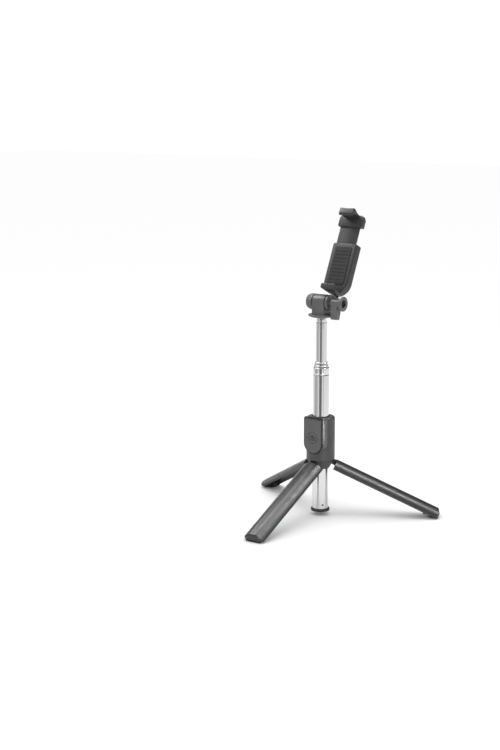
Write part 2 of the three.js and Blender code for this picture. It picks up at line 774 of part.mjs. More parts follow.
// The sliding half: a wide plate inside the clamp, a crossbar that the springs push on, and the jaw.
function upperJaw() {
  const y0 = CLAMP.front + 1.9;
  const { high } = PHONE;
  const lower = CROSSBAR.to + 0.3;
  const plate = plateY(tongue(CLAMP_X, lower, 11.3, high - 2), y0, y0 + 1.7, 12);
  const crossbar = box(CLAMP_X - 11.3, CLAMP_X + 11.3, y0 + 1, 8.3, CROSSBAR.from, CROSSBAR.to);
  const shoulder = plateY(outline([
    [CLAMP_X - 14, high - 9],
    [CLAMP_X + 14, high - 9],
    [CLAMP_X + 14, high - 0.5],
    [CLAMP_X + 12, high + 3.6],
    [CLAMP_X - 12, high + 3.6],
    [CLAMP_X - 14, high - 0.5],
  ]), CLAMP.front, 7.6);
  const hook = outline([
    [CLAMP.front + 1, high + PAD + 0.1],
    [PHONE.front - 0.1, high + PAD + 0.1],
    [PHONE.front - 0.1, high - 0.6],
    [-9.4, high - 1.2],
    [-11, high - 1],
    [-11.8, high + 1],
    [-11.5, high + 6],
    [-10.6, high + 6.8],
    [-8.4, high + 6.6],
    [-3, high + 4.6],
    [CLAMP.front + 1, high + 4],
  ]);
  const jaw = plateX(hook, CLAMP_X - JAW_HALF, CLAMP_X + JAW_HALF);
  const saddleR = 40;
  const saddle = rodY(saddleR, -20, 0.5, CLAMP_X, high + 6 + saddleR, 96);
  const holes = SIDES.map((side) => atRod(rod(ROD.r + 0.25, 30, 45, SMALL), side));
  return cut(join(plate, crossbar, shoulder, cut(jaw, saddle)), ...holes);
}

const guideRod = (side) => atRod(rod(ROD.r, ROD.from, ROD.to, SMALL), side);

function clampSpring(side) {
  return atRod(ring(ROD.r + 0.2, 1.75, CROSSBAR.to + GAP, CLAMP.top - 3 - GAP, SMALL), side);
}

function sided(name, make, look) {
  return SIDES.map((side) => piece(`${name}_${side < 0 ? 'left' : 'right'}`, make(side), look));
}

const clamp = groupOf(
  piece('tilt_arm', tiltArm(), DARK_PLASTIC),
  piece('friction_washer', frictionWasher(), RUBBER),
  piece('pivot_screw', pivotScrew(), STEEL),
  piece('pivot_cap', pivotCap(), DARK_PLASTIC),
  piece('clamp_body', clampBody(), DARK_PLASTIC),
  piece('clamp_cover', clampCover(), DARK_PLASTIC),
  piece('clamp_back_pad', backPad(), RUBBER),
  piece('lower_jaw_pad', jawPad(PHONE.low - PAD, PHONE.low), RUBBER),
  piece('upper_jaw', upperJaw(), DARK_PLASTIC),
  piece('upper_jaw_pad', jawPad(PHONE.high, PHONE.high + PAD), RUBBER),
  ...sided('guide_rod', guideRod, STEEL),
  ...sided('clamp_spring', clampSpring, STEEL),
  ...sided('cover_screw', coverScrew, STEEL),
);
clamp.position.set(0, 0, AXIS_Z);
clamp.rotation.x = -radians(TILT);

// ---------------------------------------------------------------- the whole stick

const stick = groupOf(housing, ...LEG_NAMES.map(leg), pole, remote, head, clamp);
stick.name = 'selfie_stick';

export default stick;
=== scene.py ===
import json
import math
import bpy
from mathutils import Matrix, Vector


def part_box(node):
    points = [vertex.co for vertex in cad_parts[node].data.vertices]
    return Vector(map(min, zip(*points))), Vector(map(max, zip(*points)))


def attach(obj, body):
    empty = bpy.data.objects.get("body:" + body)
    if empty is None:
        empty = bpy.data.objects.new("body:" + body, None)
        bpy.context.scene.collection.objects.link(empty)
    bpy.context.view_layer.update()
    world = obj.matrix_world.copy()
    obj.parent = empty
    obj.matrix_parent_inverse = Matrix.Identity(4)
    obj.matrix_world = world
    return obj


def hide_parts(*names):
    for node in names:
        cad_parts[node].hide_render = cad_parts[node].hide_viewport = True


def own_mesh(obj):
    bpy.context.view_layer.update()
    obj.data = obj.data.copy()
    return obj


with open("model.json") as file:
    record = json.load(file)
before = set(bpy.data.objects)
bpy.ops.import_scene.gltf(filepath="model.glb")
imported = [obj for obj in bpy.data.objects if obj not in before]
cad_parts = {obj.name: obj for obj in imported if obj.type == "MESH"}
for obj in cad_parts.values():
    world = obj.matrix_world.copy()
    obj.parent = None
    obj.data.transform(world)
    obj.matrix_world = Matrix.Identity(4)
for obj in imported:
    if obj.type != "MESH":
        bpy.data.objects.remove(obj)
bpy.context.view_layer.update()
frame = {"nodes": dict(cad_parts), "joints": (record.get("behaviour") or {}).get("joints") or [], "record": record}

# The looks of a selfie stick that stands as a small tripod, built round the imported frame.
# Pieces are drawn in millimetres, in the place that their CAD node has, and are scaled to metres
# at the end.
from types import SimpleNamespace

import bmesh
import bpy
from mathutils import Matrix, Vector

MM = 0.001
TINY = 1e-6  # a length that counts as none
SHARP_ANGLE = 32  # degrees between two faces, above which their edge is drawn sharp
NODES = frame["nodes"]
JOINTS = {joint["name"]: joint for joint in frame["joints"]}
BODY_OF = {
    node: body
    for body, members in frame["record"]["behaviour"]["bodies"].items()
    for node in members
}
SLOT_OF = {name: node.data.materials[0].name for name, node in NODES.items()}


def span(node):
    """A CAD node's box in millimetres, as x0, x1, y0, y1, z0 and z1."""
    low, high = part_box(node)
    ends = {}
    for axis, a, b in zip("xyz", low, high):
        ends[axis + "0"] = a / MM
        ends[axis + "1"] = b / MM
    return SimpleNamespace(**ends)


# ---- outlines

def arc(x, y, r, start, end, steps=8):
    """Points of a circle's arc, from start to end in degrees."""
    angles = [math.radians(start + (end - start) * i / steps) for i in range(steps + 1)]
    return [Vector((x + r * math.cos(a), y + r * math.sin(a))) for a in angles]


def rounded(corners, steps=5):
    """A closed outline from (a, b, radius) corners, each corner as an arc."""
    points = []
    for i, (a, b, r) in enumerate(corners):
        here = Vector((a, b))
        if r <= 0:
            points.append(here)
            continue
        before = (Vector(corners[i - 1][:2]) - here).normalized()
        after = (Vector(corners[(i + 1) % len(corners)][:2]) - here).normalized()
        half = before.angle(after) / 2
        centre = here + (before + after).normalized() * (r / math.sin(half))
        first = here + before * (r / math.tan(half)) - centre
        last = here + after * (r / math.tan(half)) - centre
        start = math.degrees(math.atan2(first.y, first.x))
        sweep = math.degrees(math.atan2(first.cross(last), first.dot(last)))
        points += arc(centre.x, centre.y, r, start, start + sweep, steps)
    return points


def rectangle(x0, x1, y0, y1, corner, steps=5):
    corners = [(x0, y0, corner), (x1, y0, corner), (x1, y1, corner), (x0, y1, corner)]
    return rounded(corners, steps)


def inset(outline, distance):
    """The outline moved inwards by a distance, corner by corner."""
    area = sum(outline[i - 1].cross(p) for i, p in enumerate(outline))
    side = 1 if area > 0 else -1
    points = []
    for i, p in enumerate(outline):
        before = (p - outline[i - 1]).normalized()
        after = (outline[(i + 1) % len(outline)] - p).normalized()
        normal_a = Vector((-before.y, before.x)) * side
        normal_b = Vector((-after.y, after.x)) * side
        mean = (normal_a + normal_b).normalized()
        points.append(p + mean * (distance / max(mean.dot(normal_a), 0.3)))
    return points


def tongue(x, z, half, top, corner=0.0, steps=20):
    """Straight sides and a flat top, with a half-round lower end centred at (x, z)."""
    points = arc(x, z, half, 180, 360, steps)
    if corner > 0:
        points += arc(x + half - corner, top - corner, corner, 0, 90, 5)
        points += arc(x - half + corner, top - corner, corner, 90, 180, 5)
    else:
        points += [Vector((x + half, top)), Vector((x - half, top))]
    return points


# ---- solids

def placed(name, data):
    made = bpy.data.objects.new(name, data)
    bpy.context.scene.collection.objects.link(made)
    return made


def mesh_object(name, vertices, faces):
    mesh = bpy.data.meshes.new(name)
    mesh.from_pydata([tuple(v) for v in vertices], [], faces)
    mesh.validate()
    return placed(name, mesh)


def strips(rows, count, closed):
    """Quads between rows of vertices, each row being a closed ring of count vertices."""
    faces = []
    last = len(rows) if closed else len(rows) - 1
    for i in range(last):
        a, b = rows[i], rows[(i + 1) % len(rows)]
        for k in range(count):
            n = (k + 1) % count
            faces.append((a[k], a[n], b[n], b[k]))
    return faces


def facing_out(made):
    """Turns a closed mesh's faces outwards."""
    mesh = bmesh.new()
    mesh.from_mesh(made.data)
    bmesh.ops.recalc_face_normals(mesh, faces=mesh.faces)
    mesh.to_mesh(made.data)
    mesh.free()
    return made


def capped(name, vertices, rows):
    """A solid from rings of vertices, in order, with a flat face over each end."""
    faces = strips(rows, len(rows[0]), False)
    faces.append(tuple(reversed(rows[0])))
    faces.append(tuple(rows[-1]))
    return facing_out(mesh_object(name, vertices, faces))


def prism(outline, low, high, edge=0.0, steps=4):
    """An outline in X and Y, from low to high along Z, with its two ends rounded by edge."""
    levels = []
    turns = [math.pi / 2 * i / steps for i in range(steps + 1)] if edge > 0 else [0]
    for t in reversed(turns):
        levels.append((low + edge - edge * math.sin(t), edge * (1 - math.cos(t))))
    for t in turns:
        levels.append((high - edge + edge * math.sin(t), edge * (1 - math.cos(t))))
    vertices = []
    rows = []
    for z, distance in levels:
        points = inset(outline, distance) if distance > TINY else outline
        rows.append(list(range(len(vertices), len(vertices) + len(points))))
        vertices += [(p.x, p.y, z) for p in points]
    return capped("prism", vertices, rows)


def lathe(profile, segments=96, relief=None):
    """A closed profile of (radius, z) points, turned about Z. relief(r, z, angle) changes its radius."""
    vertices = []
    rows = []
    for r, z in profile:
        if r < TINY:
            rows.append([len(vertices)] * segments)
            vertices.append((0, 0, z))
            continue
        rows.append(list(range(len(vertices), len(vertices) + segments)))
        for k in range(segments):
            a = 2 * math.pi * k / segments
            reach = relief(r, z, a) if relief else r
            vertices.append((reach * math.cos(a), reach * math.sin(a), z))
    faces = []
    for quad in strips(rows, segments, True):
        corners = tuple(dict.fromkeys(quad))
        if len(corners) > 2:
            faces.append(corners)
    return facing_out(mesh_object("lathe", vertices, faces))


def rod(r, low, high, edge=0.0, segments=48):
    """A round bar along Z with rounded ends."""
    profile = rounded([(0, low, 0), (r, low, edge), (r, high, edge), (0, high, 0)])
    return lathe(profile, segments)


def ring(inner, outer, low, high, edge=0.1):
    """A flat or tall ring about Z, with all four edges rounded."""
    return lathe(rectangle(inner, outer, low, high, edge, 3))


def block(x0, x1, y0, y1, z0, z1, edge=0.0, corner=0.0):
    """A box with rounded upright edges (corner) and rounded ends (edge)."""
    return prism(rectangle(x0, x1, y0, y1, corner, 4), z0, z1, edge, 3)


def swept(path, radius, sides=8):
    """A round wire along a path of points, with flat ends."""
    vertices = []
    rows = []
    side = Vector((1, 0, 0))
    for i, p in enumerate(path):
        along = (path[min(i + 1, len(path) - 1)] - path[max(i - 1, 0)]).normalized()
        side = (side - along * side.dot(along)).normalized()
        up = along.cross(side)
        rows.append(list(range(len(vertices), len(vertices) + sides)))
        for k in range(sides):
            a = 2 * math.pi * k / sides
            vertices.append(p + side * (radius * math.cos(a)) + up * (radius * math.sin(a)))
    return capped("wire", vertices, rows)


def apply_modifiers(made):
    """Makes the mesh what its modifiers show."""
    depsgraph = bpy.context.evaluated_depsgraph_get()
    mesh = bpy.data.meshes.new_from_object(made.evaluated_get(depsgraph))
    made.modifiers.clear()
    old = made.data
    made.data = mesh
    bpy.data.meshes.remove(old)
    return made


def combine(base, operation, tools):
    """Booleans each tool into base, and removes the tools."""
    for tool in tools:
        modifier = base.modifiers.new("combine", "BOOLEAN")
        modifier.operation = operation
        modifier.solver = "EXACT"
        modifier.object = tool
        apply_modifiers(base)
        bpy.data.objects.remove(tool)
    return base


def join(base, *tools):
    return combine(base, "UNION", tools)


def cut(base, *tools):
    return combine(base, "DIFFERENCE", tools)


def common(base, *tools):
    return combine(base, "INTERSECT", tools)


def moved(made, matrix):
    made.data.transform(matrix)
    return made


def shift(x=0.0, y=0.0, z=0.0):
    return Matrix.Translation((x, y, z))


def turn(degrees, axis):
    return Matrix.Rotation(math.radians(degrees), 4, axis)


ALONG_X = turn(90, "Y")  # what was made along +Z lies along +X
ALONG_Y = turn(-90, "X")  # and along +Y
FROM_XZ = turn(90, "X")  # an outline in (x, z), with its depth along -Y
FROM_YZ = Matrix(((0, 0, 1, 0), (1, 0, 0, 0), (0, 1, 0, 0), (0, 0, 0, 1)))  # depth along +X


def plate_y(outline, y0, y1, edge=0.0, steps=4):
    """An outline in (x, z), between two y."""
    return moved(prism(outline, -y1, -y0, edge, steps), FROM_XZ)


def plate_x(outline, x0, x1, edge=0.0, steps=4):
    """An outline in (y, z), between two x."""
    return moved(prism(outline, x0, x1, edge, steps), FROM_YZ)


def rod_x(r, x0, x1, y=0.0, z=0.0, edge=0.0, segments=48):
    return moved(rod(r, x0, x1, edge, segments), shift(0, y, z) @ ALONG_X)


def rod_y(r, y0, y1, x=0.0, z=0.0, edge=0.0, segments=48):
    return moved(rod(r, y0, y1, edge, segments), shift(x, 0, z) @ ALONG_Y)


# ---- materials

# The colour sockets of a Mix node go by number: its number and vector sockets have the same names.
COLOUR_A, COLOUR_B, COLOUR_OUT = 6, 7, 2


class Finish:
    """One procedural material and the nodes that make it."""

    def __init__(self):
        self.material = bpy.data.materials.new("look")
        self.material.use_nodes = True
        self.tree = self.material.node_tree
        self.tree.nodes.clear()
        self.shader = self.add("ShaderNodeBsdfPrincipled")
        output = self.add("ShaderNodeOutputMaterial")
        self.wire(self.shader, "BSDF", output, "Surface")
        self.place = self.add("ShaderNodeTexCoord")

    def add(self, kind, **settings):
        """A node, with its inputs and properties set by name."""
        node = self.tree.nodes.new(kind)
        for key, value in settings.items():
            if key in node.inputs:
                node.inputs[key].default_value = value
            else:
                setattr(node, key, value)
        return node

    def wire(self, a, output, b, socket):
        self.tree.links.new(a.outputs[output], b.inputs[socket])

    def set(self, socket, value):
        """One of the surface's own values."""
        self.shader.inputs[socket].default_value = value

    def coordinates(self, stretch=(1, 1, 1)):
        mapping = self.add("ShaderNodeMapping", Scale=stretch)
        self.wire(self.place, "Object", mapping, "Vector")
        return mapping

    def noise(self, per_metre, detail=2.0, stretch=(1, 1, 1)):
        texture = self.add("ShaderNodeTexNoise", Scale=per_metre, Detail=detail)
        self.wire(self.coordinates(stretch), "Vector", texture, "Vector")
        return texture

    def range(self, source, output, low, high, to_low=0, to_high=1):
        """A value that runs from to_low to to_high while its source runs from low to high."""
        ends = {"From Min": low, "From Max": high, "To Min": to_low, "To Max": to_high}
        node = self.add("ShaderNodeMapRange", **ends)
        self.wire(source, output, node, "Value")
        return node

    def mix(self, factor, output, first, second):
        """A colour that goes from first to second with the factor."""
        node = self.add("ShaderNodeMix", data_type="RGBA")
        node.inputs[COLOUR_A].default_value = (*first, 1)
        node.inputs[COLOUR_B].default_value = (*second, 1)
        self.wire(factor, output, node, "Factor")
        return node

    def paint(self, factor, output, first, second):
        """The surface's colour, from first to second with the factor."""
        self.wire(self.mix(factor, output, first, second), COLOUR_OUT, self.shader, "Base Color")

    def gloss(self, source, low, high, smooth, rough):
        """The surface's roughness, which follows a texture."""
        self.wire(self.range(source, "Fac", low, high, smooth, rough), "Result", self.shader, "Roughness")

    def bumps(self, source, output, strength, depth):
        """Small bumps, which follow a texture."""
        node = self.add("ShaderNodeBump", Strength=strength, Distance=depth)
        self.wire(source, output, node, "Height")
        self.wire(node, "Normal", self.shader, "Normal")


def shade(colour, factor):
    return tuple(c * factor for c in colour)


def worn_edges(finish, radius, low, high):
    """high along sharp edges, where handling has polished the surface, and low elsewhere."""
    bevel = finish.add("ShaderNodeBevel", samples=4, Radius=radius)
    surface = finish.add("ShaderNodeNewGeometry")
    dot = finish.add("ShaderNodeVectorMath", operation="DOT_PRODUCT")
    finish.wire(bevel, "Normal", dot, 0)
    finish.wire(surface, "Normal", dot, 1)
    return finish.range(dot, "Value", 1.0, 0.93, low, high)


def plastic(colour, rough, grain, grain_scale=2600):
    """Moulded plastic: fine spark-eroded grain, slow colour and gloss changes, edges rubbed lighter."""
    finish = Finish()
    cloud = finish.range(finish.noise(60, 3), "Fac", 0.35, 0.65)
    base = finish.mix(cloud, "Result", shade(colour, 0.9), shade(colour, 1.1))
    mask = worn_edges(finish, 0.0005, 0.0, 0.55)
    worn = finish.mix(mask, "Result", colour, shade(colour, 1.9))
    finish.wire(base, COLOUR_OUT, worn, COLOUR_A)
    finish.wire(worn, COLOUR_OUT, finish.shader, "Base Color")
    finish.gloss(finish.noise(140, 4), 0.3, 0.7, rough - 0.05, rough + 0.06)
    finish.bumps(finish.noise(grain_scale, 2), "Fac", grain, 0.00004)
    finish.set("IOR", 1.5)
    return finish.material


def rubber(colour, rough):
    """Silicone rubber: dusty bloom and a soft matt grain."""
    finish = Finish()
    dust = finish.noise(220, 5)
    bloom = tuple(c * 2.2 + 0.004 for c in colour)
    finish.paint(finish.range(dust, "Fac", 0.45, 0.8), "Result", colour, bloom)
    finish.gloss(dust, 0.3, 0.7, rough - 0.06, rough + 0.06)
    finish.bumps(finish.noise(1800, 3), "Fac", 0.35, 0.00006)
    return finish.material


def polished(colour, rough):
    """Polished stainless tube: faint drawing lines along the tube, hairline scratches round it."""
    finish = Finish()
    drawn = finish.noise(900, 3, (1, 1, 0.02))
    rubs = finish.noise(500, 4, (0.15, 0.15, 3))
    finish.paint(finish.range(drawn, "Fac", 0.3, 0.7), "Result", shade(colour, 0.94), colour)
    finish.gloss(rubs, 0.35, 0.75, rough * 0.7, rough * 1.7)
    finish.bumps(drawn, "Fac", 0.05, 0.00001)
    finish.set("Metallic", 1.0)
    return finish.material


def plated(colour, rough):
    """Plated steel: turning marks, small stains and a little unevenness."""
    finish = Finish()
    stain = finish.noise(400, 4)
    finish.paint(finish.range(stain, "Fac", 0.4, 0.7), "Result", colour, shade(colour, 0.75))
    finish.gloss(stain, 0.3, 0.7, rough - 0.08, rough + 0.12)
    finish.bumps(finish.noise(3000, 2, (1, 1, 0.2)), "Fac", 0.15, 0.00002)
    finish.set("Metallic", 1.0)
    return finish.material


def board_finish():
    """Green solder mask with copper tracks that show through it."""
    finish = Finish()
    tracks = finish.add("ShaderNodeTexWave", Scale=180.0, Distortion=6.0, Detail=1.0)
    finish.wire(finish.coordinates(), "Vector", tracks, "Vector")
    lines = finish.range(tracks, "Fac", 0.55, 0.62)
    finish.paint(lines, "Result", (0.012, 0.075, 0.03), (0.03, 0.15, 0.06))
    finish.bumps(lines, "Result", 0.3, 0.00003)
    finish.set("Roughness", 0.35)
    return finish.material


def light_pipe():
    """A small smoked lens, unlit."""
    finish = Finish()
    cloud = finish.noise(2500, 2)
    finish.paint(cloud, "Fac", (0.012, 0.014, 0.018), (0.03, 0.035, 0.045))
    finish.gloss(cloud, 0.3, 0.7, 0.12, 0.24)
    return finish.material


def floor_finish():
    """Plain pale paper."""
    finish = Finish()
    finish.paint(finish.noise(30, 3), "Fac", (0.9, 0.9, 0.9), (0.92, 0.92, 0.92))
    finish.set("Roughness", 0.9)
    finish.set("Specular IOR Level", 0.0)
    finish.material.name = "pale_floor"
    return finish.material


LOOKS = {
    "housing_plastic": plastic((0.05, 0.05, 0.052), 0.46, 0.3),
    "leg_plastic": plastic((0.028, 0.028, 0.029), 0.34, 0.05, 2400),
    "head_plastic": plastic((0.088, 0.088, 0.09), 0.4, 0.3),
    "clamp_plastic": plastic((0.028, 0.028, 0.029), 0.42, 0.2),
    "remote_plastic": plastic((0.08, 0.08, 0.082), 0.4, 0.15),
    "black_plastic": plastic((0.014, 0.014, 0.015), 0.4, 0.1),
    "rubber": rubber((0.012, 0.012, 0.013), 0.75),
    "cap_rubber": rubber((0.022, 0.022, 0.024), 0.6),
    "polished_tube": polished((0.69, 0.69, 0.7), 0.08),
    "steel": plated((0.55, 0.55, 0.57), 0.3),
    "circuit_board": board_finish(),
    "lamp": light_pipe(),
    # The rim's look is the housing plastic made glossier and a little lighter: the gloss is real, the lighter
    # colour is a painted highlight on the rim.
    "rim_gloss_and_painted_highlight": plastic((0.06, 0.06, 0.062), 0.2, 0.05),
}
for name, look in LOOKS.items():
    look.name = f"{name}_look"


def trim(made, name, node, look=None, place=None):
    """Finishes a piece that goes with a CAD node: place, shading, material and body."""
    made.name = name
    made.data.name = name
    made.data.transform(Matrix.Scale(MM, 4) @ (place or Matrix.Identity(4)))
    made.data.shade_smooth()
    made.data.set_sharp_from_angle(angle=math.radians(SHARP_ANGLE))
    made.data.materials.clear()
    made.data.materials.append(look or LOOKS[SLOT_OF[node]])
    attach(made, BODY_OF[node])
    return made


def settle(made, name, node, look=None, place=None):
    """Finishes a piece in the same way, and lets it stand for the CAD node."""
    trim(made, name, node, look, place)
    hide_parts(node)
    return made


# ---- housing and hinge hub

SLEEVE = span("housing_sleeve")
HUB = span("hinge_hub")
REMOTE = span("remote_face")
REMOTE_BACK = span("remote_back")
BUTTON = span("remote_button")
TUBE_R = span("outer_tube").x1
BODY_R = SLEEVE.x1
CONE_FOOT_R = 9.4
CONE_TOP = SLEEVE.z0 + 0.6
BORE_R = 8.9
SPIGOT_R = 11.3
RUNNING_GAP = 0.35
SEAM_Z = SLEEVE.z0  # the sleeve and the cone meet here, with a fine line between them
SMALL_BORE_R = 0.95  # what a hinge pin, a rivet or a small screw goes through
DOCK_HALF = 12.4
DOCK_FRONT = -13.5
REMOTE_HALF = REMOTE.x1
REMOTE_WALL = 0.7
REMOTE_LOW = REMOTE.z0 + REMOTE_HALF
BUTTON_Z = (BUTTON.z0 + BUTTON.z1) / 2
BUTTON_R = (BUTTON.z1 - BUTTON.z0) / 2


def cone_r(z):
    return CONE_FOOT_R + (z - HUB.z0) * (BODY_R - CONE_FOOT_R) / (CONE_TOP - HUB.z0)


def dock_pocket():
    """The space that the remote slides in."""
    outline = tongue(0, REMOTE_LOW, REMOTE_HALF + RUNNING_GAP, SLEEVE.z1 + 5, 0, 32)
    return plate_y(outline, -20, REMOTE_BACK.y1 + 0.3)


def housing_shell():
    """The grey sleeve of the handle, open for the remote and bored for the pole."""
    seam = SEAM_Z + 0.08
    core_r = BORE_R - 1.2
    shell = lathe(rounded([
        (core_r, seam, 0), (cone_r(seam), seam, 0.12), (BODY_R, CONE_TOP, 0.6),
        (BODY_R, SLEEVE.z1, 2.6), (core_r, SLEEVE.z1, 0),
    ], 8), 160)
    seat = rod(SPIGOT_R, HUB.z0, HUB.z1 + 0.2, 0, 96)
    bore = rod(BORE_R, HUB.z0, SLEEVE.z1 + 2, 0, 96)
    return cut(shell, dock_pocket(), bore, seat)


def dock_rim():
    """The frame that stands out of the sleeve round the remote."""
    outline = tongue(0, REMOTE_LOW, DOCK_HALF, SLEEVE.z1 - 0.2, 0.8, 32)
    rim = plate_y(outline, DOCK_FRONT, -5.5, 1.35, 1)
    body = rod(BODY_R - 0.02, HUB.z0, SLEEVE.z1 + 4, 0, 160)
    return cut(rim, dock_pocket(), body)


def hinge_cone():
    """The cone under the sleeve, with a slot, a pin bore and a screw hole for each leg."""
    top = SEAM_Z - 0.12
    bore_r, spigot_r = 8.45, 11
    body = lathe(rounded([
        (bore_r, HUB.z0, 0.15), (CONE_FOOT_R, HUB.z0, 0.35),
        (cone_r(top) - 0.05, top, 0.15), (spigot_r, top, 0), (spigot_r, HUB.z1, 0.2),
        (bore_r, HUB.z1, 0.2),
    ], 4), 160)
    slot_half, slot_back, screw_circle_r = 3.65, -7.5, 9.75
    pin = span("hinge_pin_front")
    hinge_r = -(pin.y0 + pin.y1) / 2
    hinge_z = (pin.z0 + pin.z1) / 2
    for i in range(3):
        slot = block(-slot_half, slot_half, -18, slot_back, 40, hinge_z + 2.2, 0, 0.5)
        bore = rod_x(SMALL_BORE_R, -5.8, 5.8, -hinge_r, hinge_z, 0, 24)
        screw = rod(SMALL_BORE_R, 44, 61, 0, 24)
        around = turn(120 * i, "Z")
        cut(body, moved(slot, around))
        cut(body, moved(bore, around))
        cut(body, moved(screw, around @ shift(0, screw_circle_r, 0)))
    return body


settle(housing_shell(), "housing_shell", "housing_sleeve")
# The rim's slightly lighter colour is a painted highlight; its gloss and the low card light give the rest.
trim(dock_rim(), "dock_rim", "housing_sleeve", LOOKS["rim_gloss_and_painted_highlight"])
settle(hinge_cone(), "hinge_cone", "hinge_hub")
for where in ("lower", "upper"):
    bush = span(f"slide_bush_{where}")
    settle(ring(8.25, bush.x1, bush.z0, bush.z1, 0.15), f"bush_{where}", f"slide_bush_{where}")


# ---- legs

LEG_JOINT = JOINTS["leg_front_fold"]
LEG_SPREAD = -LEG_JOINT["range_deg"][0]
HINGE_R = -LEG_JOINT["pos_m"][1] / MM
HINGE_Z = LEG_JOINT["pos_m"][2] / MM
FLOOR_Z = span("foot_pad_front").z0
LEG_LENGTH = 121.3
LEG_HALF_ANGLE = 58.6
LEG_INNER_R = 10
LEG_OUTER_R = 14.3
LEG_TOP = -5
LEG_NOSE_R = 4.8
LEG_TIP_R = 6
END_BLOCK = 9
BLOCK_INNER_R = 3
PAD_THICK = 1.7
KNUCKLE_R = 1.9
KNUCKLE_HALF = 3.3
LEG_ANGLES = {"front": 0, "right": 120, "left": 240}


def sector(inner, outer, half, outer_edge, inner_edge):
    """A leg's section: part of a ring round the folded pole, with rounded corners."""
    lead = math.degrees(math.asin(outer_edge / (outer - outer_edge)))
    lag = math.degrees(math.asin(inner_edge / (inner + inner_edge)))
    start, end = -90 - half, -90 + half
    points = arc(0, 0, outer, start + lead, end - lead, 44)

    def corner(reach, angle, r, first, last):
        a = math.radians(angle)
        return arc(reach * math.cos(a), reach * math.sin(a), r, first, last, 6)

    points += corner(outer - outer_edge, end - lead, outer_edge, end - lead, end + 90)[1:]
    points += corner(inner + inner_edge, end - lag, inner_edge, end + 90, end - lag + 180)
    points += arc(0, 0, inner, end - lag, start + lag, 32)[1:-1]
    points += corner(inner + inner_edge, start + lag, inner_edge, start + lag + 180, start + 270)
    last_corner = corner(outer - outer_edge, start + lead, outer_edge, start + 270, start + lead + 360)
    points += last_corner[:-1]
    return [Vector((p.x, p.y + HINGE_R)) for p in points]


def floor_slab(lift, low=-90, high=0):
    """The space below the floor, or above it, as the folded leg meets it."""
    slab = block(-40, 40, -200, 200, low, high)
    return moved(slab, turn(LEG_SPREAD, "X") @ shift(0, 0, lift + FLOOR_Z - HINGE_Z))


def leg_blank():
    """A folded leg's outer shape: a curved channel with a closed end and a rounded tip."""
    beyond = 20
    top = LEG_TOP + 5
    section = sector(LEG_INNER_R, LEG_OUTER_R, LEG_HALF_ANGLE, 1.3, 0.7)
    shell = prism(section, -LEG_LENGTH - 2, LEG_TOP)
    end_section = sector(BLOCK_INNER_R, LEG_OUTER_R - 1, LEG_HALF_ANGLE - 0.5, 0.9, 0.4)
    end = prism(end_section, -LEG_LENGTH - 1, END_BLOCK - LEG_LENGTH)
    crown = HINGE_R - LEG_OUTER_R
    nose = rounded([
        (beyond, top, 0), (crown - 0.01, top, 0), (crown - 0.01, -LEG_LENGTH, LEG_NOSE_R),
        (beyond, -LEG_LENGTH, 0),
    ], 12)
    half = LEG_OUTER_R - 2
    front = rounded([
        (half, top, 0), (-half, top, 0), (-half, -LEG_LENGTH - 0.03, LEG_TIP_R),
        (half, -LEG_LENGTH - 0.03, LEG_TIP_R),
    ], 14)
    return common(join(shell, end), plate_x(nose, -beyond, beyond), plate_y(front, -beyond, 30))


def housing_sweep():
    """What the housing's foot takes out of the leg as the leg swings from folded to open."""
    clear = 0.4
    corners = [
        (0, HUB.z0 - 4, 0), (CONE_FOOT_R + clear, HUB.z0 - 4, 0),
        (CONE_FOOT_R + clear, HUB.z0 - 0.2, 0), (BODY_R + clear, CONE_TOP - 0.2, 0),
        (BODY_R + clear, CONE_TOP + 20, 0), (0, CONE_TOP + 20, 0),
    ]
    steps = 8
    swings = []
    for i in range(steps + 1):
        body = lathe(rounded(corners), 120)
        swing = turn(LEG_SPREAD * i / steps, "X") @ shift(0, HINGE_R, -HINGE_Z)
        swings.append(moved(body, swing))
    return swings


def leg_shell():
    """The leg without its sole, with a small peg inside near the tip."""
    peg_r, peg_length, peg_height = 1.3, 8.5, 13.4
    shell = cut(leg_blank(), *housing_sweep(), floor_slab(PAD_THICK))
    at = shift(0, 0, peg_height - LEG_LENGTH) @ ALONG_Y
    peg = moved(rod(peg_r, 0, peg_length, 0.4, 32), at)
    return join(shell, peg)


def leg_knuckle():
    """The hinge eye, which the pin goes through; it is drawn in black as painted shade for the shadowed hinge gap.
    """
    strap = arc(0, 0, KNUCKLE_R, -20, 200, 20)
    strap += [Vector(p) for p in [(-2.7, -3.6), (-2.7, LEG_TOP), (KNUCKLE_R, LEG_TOP)]]
    eye = plate_x(strap, -KNUCKLE_HALF, KNUCKLE_HALF, 0.3, 2)
    return cut(eye, rod_x(1.05, -5, 5, 0, 0, 0, 32))


def foot_pad():
    """The rubber sole, with grip grooves across it."""
    gap = 0.3
    inset_r = 0.6
    inset_angle = 3
    apex = 1.3  # past the end block's inner arc, which the outline must not touch
    above = floor_slab(PAD_THICK - gap, 0, 90)
    start, end = -90 - LEG_HALF_ANGLE + inset_angle, -90 + LEG_HALF_ANGLE - inset_angle
    section = arc(0, HINGE_R, LEG_OUTER_R - inset_r, start, end, 40)
    section.append(Vector((0, HINGE_R - BLOCK_INNER_R + apex)))
    pad = prism(section, -LEG_LENGTH - 1, 30 - LEG_LENGTH)
    pad = cut(common(leg_blank(), pad), above, floor_slab(0))
    pitch, toe, lean = 2.2, 3.4, 0.906  # lean: the share of the leg's length that is seen from above
    for i in range(4):
        groove = block(-14, 14, -0.35, 0.35, -0.5, 0.5)
        along = shift(0, toe - (LEG_LENGTH - pitch * i) * lean, FLOOR_Z - HINGE_Z)
        cut(pad, moved(groove, turn(LEG_SPREAD, "X") @ along))
    return pad


def copy_of(source):
    return placed(source.name, source.data.copy())


